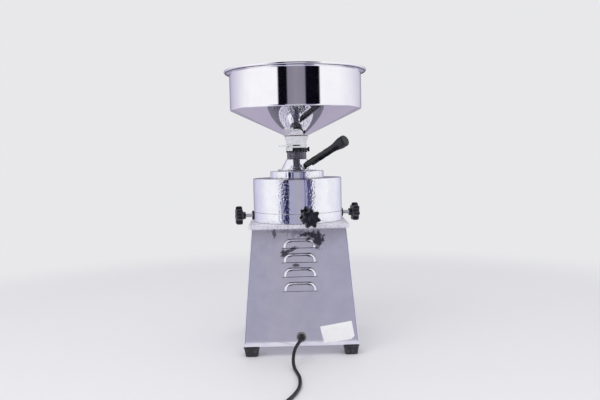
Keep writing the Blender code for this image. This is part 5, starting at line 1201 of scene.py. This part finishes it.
def buildHousing(look):
    slant = math.hypot(look["height"], look["bottomHalf"] - look["topHalf"])
    lows = [look["louvreLow"] + k * look["louvrePitch"] for k in range(look["louvres"])]
    # heights along the slanted face
    levels = [0.0, 2.0, 12.0, 25.0]
    levels += list(np.linspace(look["switchHeight"] - look["sleeveHalfTall"],
                               look["switchHeight"] + look["sleeveHalfTall"], 5))
    levels += [75.0, 90.0, 104.0]
    for low in lows:
        levels += [low - 1.3, low - 0.6, low, low + 0.5, *(low + look["louvreHeight"] * np.linspace(0, 1, 21)[1:])]
        levels += [low + look["louvreHeight"] + 1.0]
    levels += [slant - 14, slant - 2.0, slant]
    levels = np.array(sorted(set(np.round(levels, 4))))
    slits = [int(np.searchsorted(levels, low - 1e-3)) for low in lows]
    # each side: places along it, the middle ones fixed, the outer ones spread to the corner
    half = look["louvreWidth"] / 2
    flank = half - look["louvreRise"] * 1.9 * (1 - np.cos(np.linspace(0, np.pi / 2, 22)))
    middle = np.unique(np.round(np.concatenate([
        [-44.0, -38.0, 38.0, 44.0, -half, half], flank, -flank,
        np.linspace(-half + 16, half - 16, 15), [-look["sleeveHalfWidth"], look["sleeveHalfWidth"]],
    ]), 3))
    outerShare = np.array([0.25, 0.5, 0.75, 0.97, 1.0])
    count = len(middle) + 2 * len(outerShare)
    arc = np.linspace(0, np.pi / 2, 9)[1:-1]
    rows = []
    for level in levels:
        share = level / slant
        reach = look["bottomHalf"] + (look["topHalf"] - look["bottomHalf"]) * share
        z = look["low"] + look["height"] * share
        end = reach - look["corner"]
        edgeUp = 44.0 + (end - 44.0) * outerShare
        line = np.concatenate([-edgeUp[::-1], middle, edgeUp])
        press = louvrePress(look, line, np.full_like(line, level))
        lean = math.atan2(look["bottomHalf"] - look["topHalf"], look["height"])
        corner = np.stack([end + look["corner"] * np.sin(arc), -(end + look["corner"] * np.cos(arc))], axis=1)
        pieces = []
        for side in range(4):
            out = reach + (press * math.cos(lean) if side == 0 else 0.0)
            rise = press * math.sin(lean) if side == 0 else 0.0
            flat = np.stack([line, -np.broadcast_to(out, line.shape), z + np.broadcast_to(rise, line.shape)],
                            axis=1)
            bend = np.column_stack([corner, np.full(len(corner), z)])
            ring = np.vstack([flat, bend])
            c, s = math.cos(side * math.pi / 2), math.sin(side * math.pi / 2)
            turn = np.array([[c, s, 0], [-s, c, 0], [0, 0, 1]])
            pieces.append(ring @ turn)
        rows.append(np.vstack(pieces))
    columns = len(rows[0])
    # folds: the top and bottom lips turn in, each with a small bend radius
    def lip(ring, z, direction, reachIn, bend=2.2):
        turned = []
        for t in np.linspace(0, np.pi / 2, 6)[1:]:
            inset, drop = bend * (1 - np.cos(t)), bend * np.sin(t)
            turned.append(squeezed(ring, inset, z + direction * (drop - bend)))
        turned.append(squeezed(ring, reachIn, z))
        return turned

    def squeezed(ring, inset, z):
        share = 1 - inset / np.maximum(np.abs(ring[:, :2]).max(axis=1, keepdims=True), 1)
        return np.column_stack([ring[:, :2] * share, np.full(len(ring), z)])

    top = lip(rows[-1], look["low"] + look["height"], 1, look["topLip"])
    bottom = lip(rows[0], look["low"], -1, look["bottomLip"])
    rows[-1] = squeezed(rows[-1], 0, look["low"] + look["height"] - 2.2)
    rows[0] = squeezed(rows[0], 0, look["low"] + 2.2)
    grid = np.stack(bottom[::-1] + rows + top)
    keep = np.ones((len(grid) - 1, columns), bool)
    shift = len(bottom)
    inSlit = (middle[:-1] >= -half - 1e-6) & (middle[1:] <= half + 1e-6)
    first = len(outerShare)
    for row in slits:
        keep[shift + row - 1, first:first + len(middle) - 1][inSlit] = False
    inSleeve = (middle[:-1] >= -look["sleeveHalfWidth"] - 1e-6) & (middle[1:] <= look["sleeveHalfWidth"] + 1e-6)
    perSide = count + len(arc)
    switchRows = np.flatnonzero((levels[:-1] >= look["switchHeight"] - look["sleeveHalfTall"] - 1e-3)
                                & (levels[1:] <= look["switchHeight"] + look["sleeveHalfTall"] + 1e-3))
    for row in switchRows:
        keep[shift + row, 2 * perSide + first:2 * perSide + first + len(middle) - 1][inSleeve] = False
    grid = grid * mm + (0, shaftY, 0)
    made = makePiece("motorHousing", [(grid, False, keep)], finish["sheet"], "base",
                     ("housing",), 40)
    thick = made.modifiers.new("sheet", "SOLIDIFY")
    thick.thickness = look["sheet"] * mm
    thick.offset = -1


buildHousing(housingLook)
print("stage: housing")


# Label

labelLook = {
    # corners along and up the rear face, and the bend radius of each; the last but one is cut off
    "corners": ((37.5, 38.0, 1.0), (101.0, 48.2, 1.0), (106.4, 17.6, 1.5), (99.2, 11.6, 1.5), (45.3, 5.0, 1.0)),
}


def buildLabel(look, housing):
    # a sheet of paper on the rear face: (a, b) along and up the face, just proud of it
    lean = math.atan2(housing["bottomHalf"] - housing["topHalf"], housing["height"])
    outline = filletPath(look["corners"], steps=6)
    middle = outline.mean(axis=0)
    rings = []
    for scale, lift in ((0.0, 0.0), (1.0, 0.0), (1.0, 0.14), (0.996, 0.18), (0.6, 0.18), (0.0, 0.18)):
        flat = middle + (outline - middle) * scale
        x, along = flat[:, 0], flat[:, 1]
        y = -(housing["bottomHalf"] - along * math.sin(lean)) - lift * math.cos(lean)
        z = housing["low"] + along * math.cos(lean) + lift * math.sin(lean)
        rings.append(np.stack([x, y, z], axis=1))
    shape = np.stack(rings) * mm + (0, shaftY, 0)
    makePiece("blankLabel", [shape], finish["label"], "base", ())


buildLabel(labelLook, housingLook)


# Nodes that keep their own shape

nodeFinish = {
    "plateCasting": ("top_plate",),
    "sheet": ("bottom_plate",),
    "satin": ("upper_end_shield", "lower_end_shield", "stone_carrier", "stone_holder"),
    "steel": ("motor_bolt_1", "motor_bolt_2", "motor_bolt_3", "motor_bolt_4", "motor_shaft", "upper_bearing",
              "lower_bearing", "stone_nut", "stone_screw_1", "stone_screw_2", "stone_screw_3"),
    "iron": ("stator", "rotor_core"),
    "foot": ("foot_1", "foot_2", "foot_3", "foot_4"),
    "rubber": ("shaft_seal",),
    "phenolic": ("switch_frame", "rocker", "run_capacitor"),
    "stone": ("lower_stone", "upper_stone"),
    "nylon": ("cooling_fan",),
}
for look, names in nodeFinish.items():
    for name in names:
        for slot in bpy.data.objects[name].material_slots:
            slot.material = finish[look]
print("stage: carried-over pieces")


# Floor, world and lamps

stageLook = {
    "floorTone": "#ECECEE", "floorRadius": 2.6, "fadeFrom": 0.9, "fadeTo": 1.5, "backdrop": "#E8E8EA",
    "mirrorCut": -0.415, "glowShare": 0.6, "fill": "#E8E8EB", "keyPower": 7.0, "lowPower": 4.5,
    # what the metal mirrors, by degrees of azimuth from the viewer's side: a pale room with a
    # grey bay between two black screens; low is at and below the horizon
    "low": (
        (-180, "#9D97AC"), (-163, "#A49EB2"), (-140, "#CFCEE6"), (-110, "#E4E4F2"), (-85, "#FAFAFE"),
        (-52, "#FCFCFF"), (-44, "#B8BAD2"), (-36, "#4A4C7C"), (-29, "#14143A"), (-19.5, "#1A1A44"),
        (-17.5, "#A9ABC8"), (-8, "#ABAABD"), (0, "#AEACB9"), (7, "#ACABBC"), (16.5, "#A6A6C4"), (18.5, "#4E4A74"),
        (36, "#5A5680"), (41, "#F4F4FA"), (80, "#FCFCFF"), (110, "#F0F0F8"), (140, "#DCDCEE"),
        (163, "#A49EB2"), (180, "#9D97AC"),
    ),
    "high": (
        (-180, "#8B8598"), (-165, "#8F899D"), (-150, "#BDB8CE"), (-122, "#D8D5E4"), (-98, "#F4F4F8"),
        (-80, "#FCFCFE"), (-31.5, "#FCFCFE"), (-29.5, "#0A0814"), (-15.5, "#08060F"), (-13.5, "#847F8E"),
        (0, "#8E8A96"), (15, "#868290"), (17, "#0A0814"), (40, "#07060E"), (42, "#FCFCFE"),
        (78, "#FBFBFD"), (110, "#EBEAF1"), (145, "#CFCBDA"), (165, "#8F899D"), (180, "#8B8598"),
    ),
    "above": (
        (-180, "#EFEFF4"), (-47, "#FAFAFD"), (-41, "#34343E"), (0, "#2A2A33"), (41, "#34343E"),
        (47, "#FAFAFD"), (180, "#EFEFF4"),
    ),
    "zenith": "#DEDEE4", "mirroredFloor": ("#EDEBF2", "#B3ACC0"),
}


def glossyWorld(look):
    # The camera sees the pale backdrop, and other light comes evenly from all round. The metal
    # mirrors rings of tones by azimuth, which pass into each other by height.
    world = bpy.data.worlds.new("studio")
    bpy.context.scene.world = world
    world.use_nodes = True
    tree = world.node_tree
    tree.nodes.clear()
    way = addNode(tree, "ShaderNodeTexCoord").outputs["Generated"]
    parts = addNode(tree, "ShaderNodeSeparateXYZ", {"Vector": way}).outputs
    azimuth = mathOf(tree, "ARCTAN2", parts["X"], mathOf(tree, "MULTIPLY", parts["Y"], -1.0))
    turnShare = stretchTo(tree, azimuth, 0.0, 1.0, -math.pi, math.pi)

    def toneRing(stops):
        ramp = addNode(tree, "ShaderNodeValToRGB", {"Fac": turnShare})
        band = ramp.color_ramp
        while len(band.elements) > 1:
            band.elements.remove(band.elements[-1])
        for k, (degrees, tone) in enumerate(stops):
            place = (degrees + 180) / 360
            element = band.elements[0] if k == 0 else band.elements.new(place)
            element.position = place
            element.color = linearColour(tone)
        return ramp.outputs["Color"]

    def between(low, high, under, over):
        ends = [math.sin(math.radians(degrees)) for degrees in (low, high)]
        return mixColours(tree, stretchTo(tree, parts["Z"], 0.0, 1.0, *ends), under, over)

    band = between(2.3, 3.9, toneRing(look["low"]), toneRing(look["high"]))
    band = between(16, 26, band, toneRing(look["above"]))
    mirrored = between(66, 76, band, look["zenith"])
    light = addNode(tree, "ShaderNodeLightPath").outputs
    bright = mathOf(tree, "MAXIMUM", light["Is Glossy Ray"], light["Is Transmission Ray"])
    shown = mixColours(tree, bright, look["fill"], mirrored)
    shown = mixColours(tree, light["Is Camera Ray"], shown, look["backdrop"])
    background = addNode(tree, "ShaderNodeBackground", {"Color": shown, "Strength": 1.0})
    addNode(tree, "ShaderNodeOutputWorld", {"Surface": background.outputs[0]})


def buildFloor(look):
    # a wide disc whose outer part passes into the backdrop's own tone
    rings = np.array([look["floorRadius"], 1.5, 0.9, 0.5, 0.2, 0.0])
    grid = turnedGrid(np.column_stack([rings, np.zeros(6)]), 96)
    made, tree, shader = newMaterial("pale studio floor", look["floorTone"], 0.6)
    place = addNode(tree, "ShaderNodeTexCoord").outputs["Object"]
    behind = addNode(tree, "ShaderNodeSeparateXYZ", {"Vector": place}).outputs["Y"]
    away = addNode(tree, "ShaderNodeVectorMath", {0: place}, operation="LENGTH").outputs["Value"]
    fade = addNode(tree, "ShaderNodeMapRange", {
        "Value": away, "From Min": look["fadeFrom"], "From Max": look["fadeTo"],
    }, interpolation_type="SMOOTHSTEP").outputs["Result"]
    glossy = addNode(tree, "ShaderNodeLightPath").outputs["Is Glossy Ray"]
    # in the metal the floor is pale on the viewer's side and greyer beyond the machine, and over
    # half of its tone there is a glow, so that the machine's shadow doesn't dull it
    mirrored = mixColours(tree, stretchTo(tree, behind, 0.0, 1.0, -0.05, 0.25), *look["mirroredFloor"])
    tree.links.new(mixColours(tree, glossy, look["floorTone"], mirrored), shader.inputs["Base Color"])
    glow = addNode(tree, "ShaderNodeEmission", {"Color": mixColours(tree, glossy, look["backdrop"], mirrored),
                                                "Strength": 1.0})
    share = mathOf(tree, "MAXIMUM", fade, mathOf(tree, "MULTIPLY", glossy, look["glowShare"]))
    seen = addNode(tree, "ShaderNodeMixShader", {0: share, 1: shader.outputs[0], 2: glow.outputs[0]})
    # the metal doesn't mirror it near the viewer or far away
    clear = addNode(tree, "ShaderNodeBsdfTransparent")
    hidden = mathOf(tree, "MAXIMUM", mathOf(tree, "LESS_THAN", behind, look["mirrorCut"]),
                    mathOf(tree, "GREATER_THAN", away, look["fadeTo"]))
    final = addNode(tree, "ShaderNodeMixShader", {0: mathOf(tree, "MULTIPLY", hidden, glossy),
                                                  1: seen.outputs[0], 2: clear.outputs[0]})
    tree.links.new(final.outputs[0], tree.nodes["Material Output"].inputs["Surface"])
    mesh = bpy.data.meshes.new("studioFloor")
    mesh.from_pydata(grid.reshape(-1, 3).tolist(), [], gridFaces(*grid.shape[:2]).reshape(-1, 4).tolist())
    mesh.materials.append(made)
    linked("studioFloor", mesh)


def buildLamp(name, place, target, size, power):
    data = bpy.data.lights.new(name, "AREA")
    data.shape = "DISK"
    data.size = size
    data.energy = power
    lamp = linked(name, data)
    lamp.location = place
    lamp.rotation_euler = (Vector(target) - Vector(place)).to_track_quat("-Z", "Y").to_euler()
    lamp.visible_glossy = False


glossyWorld(stageLook)
buildFloor(stageLook)
buildLamp("softKey", (-0.5, -0.9, 1.7), (0, 0, 0.25), 1.2, stageLook["keyPower"])
buildLamp("lowSoft", (0.5, -1.8, 0.5), (0, 0, 0.3), 0.9, stageLook["lowPower"])
bpy.context.scene.view_settings.view_transform = "Standard"
print("stage: floor and light")
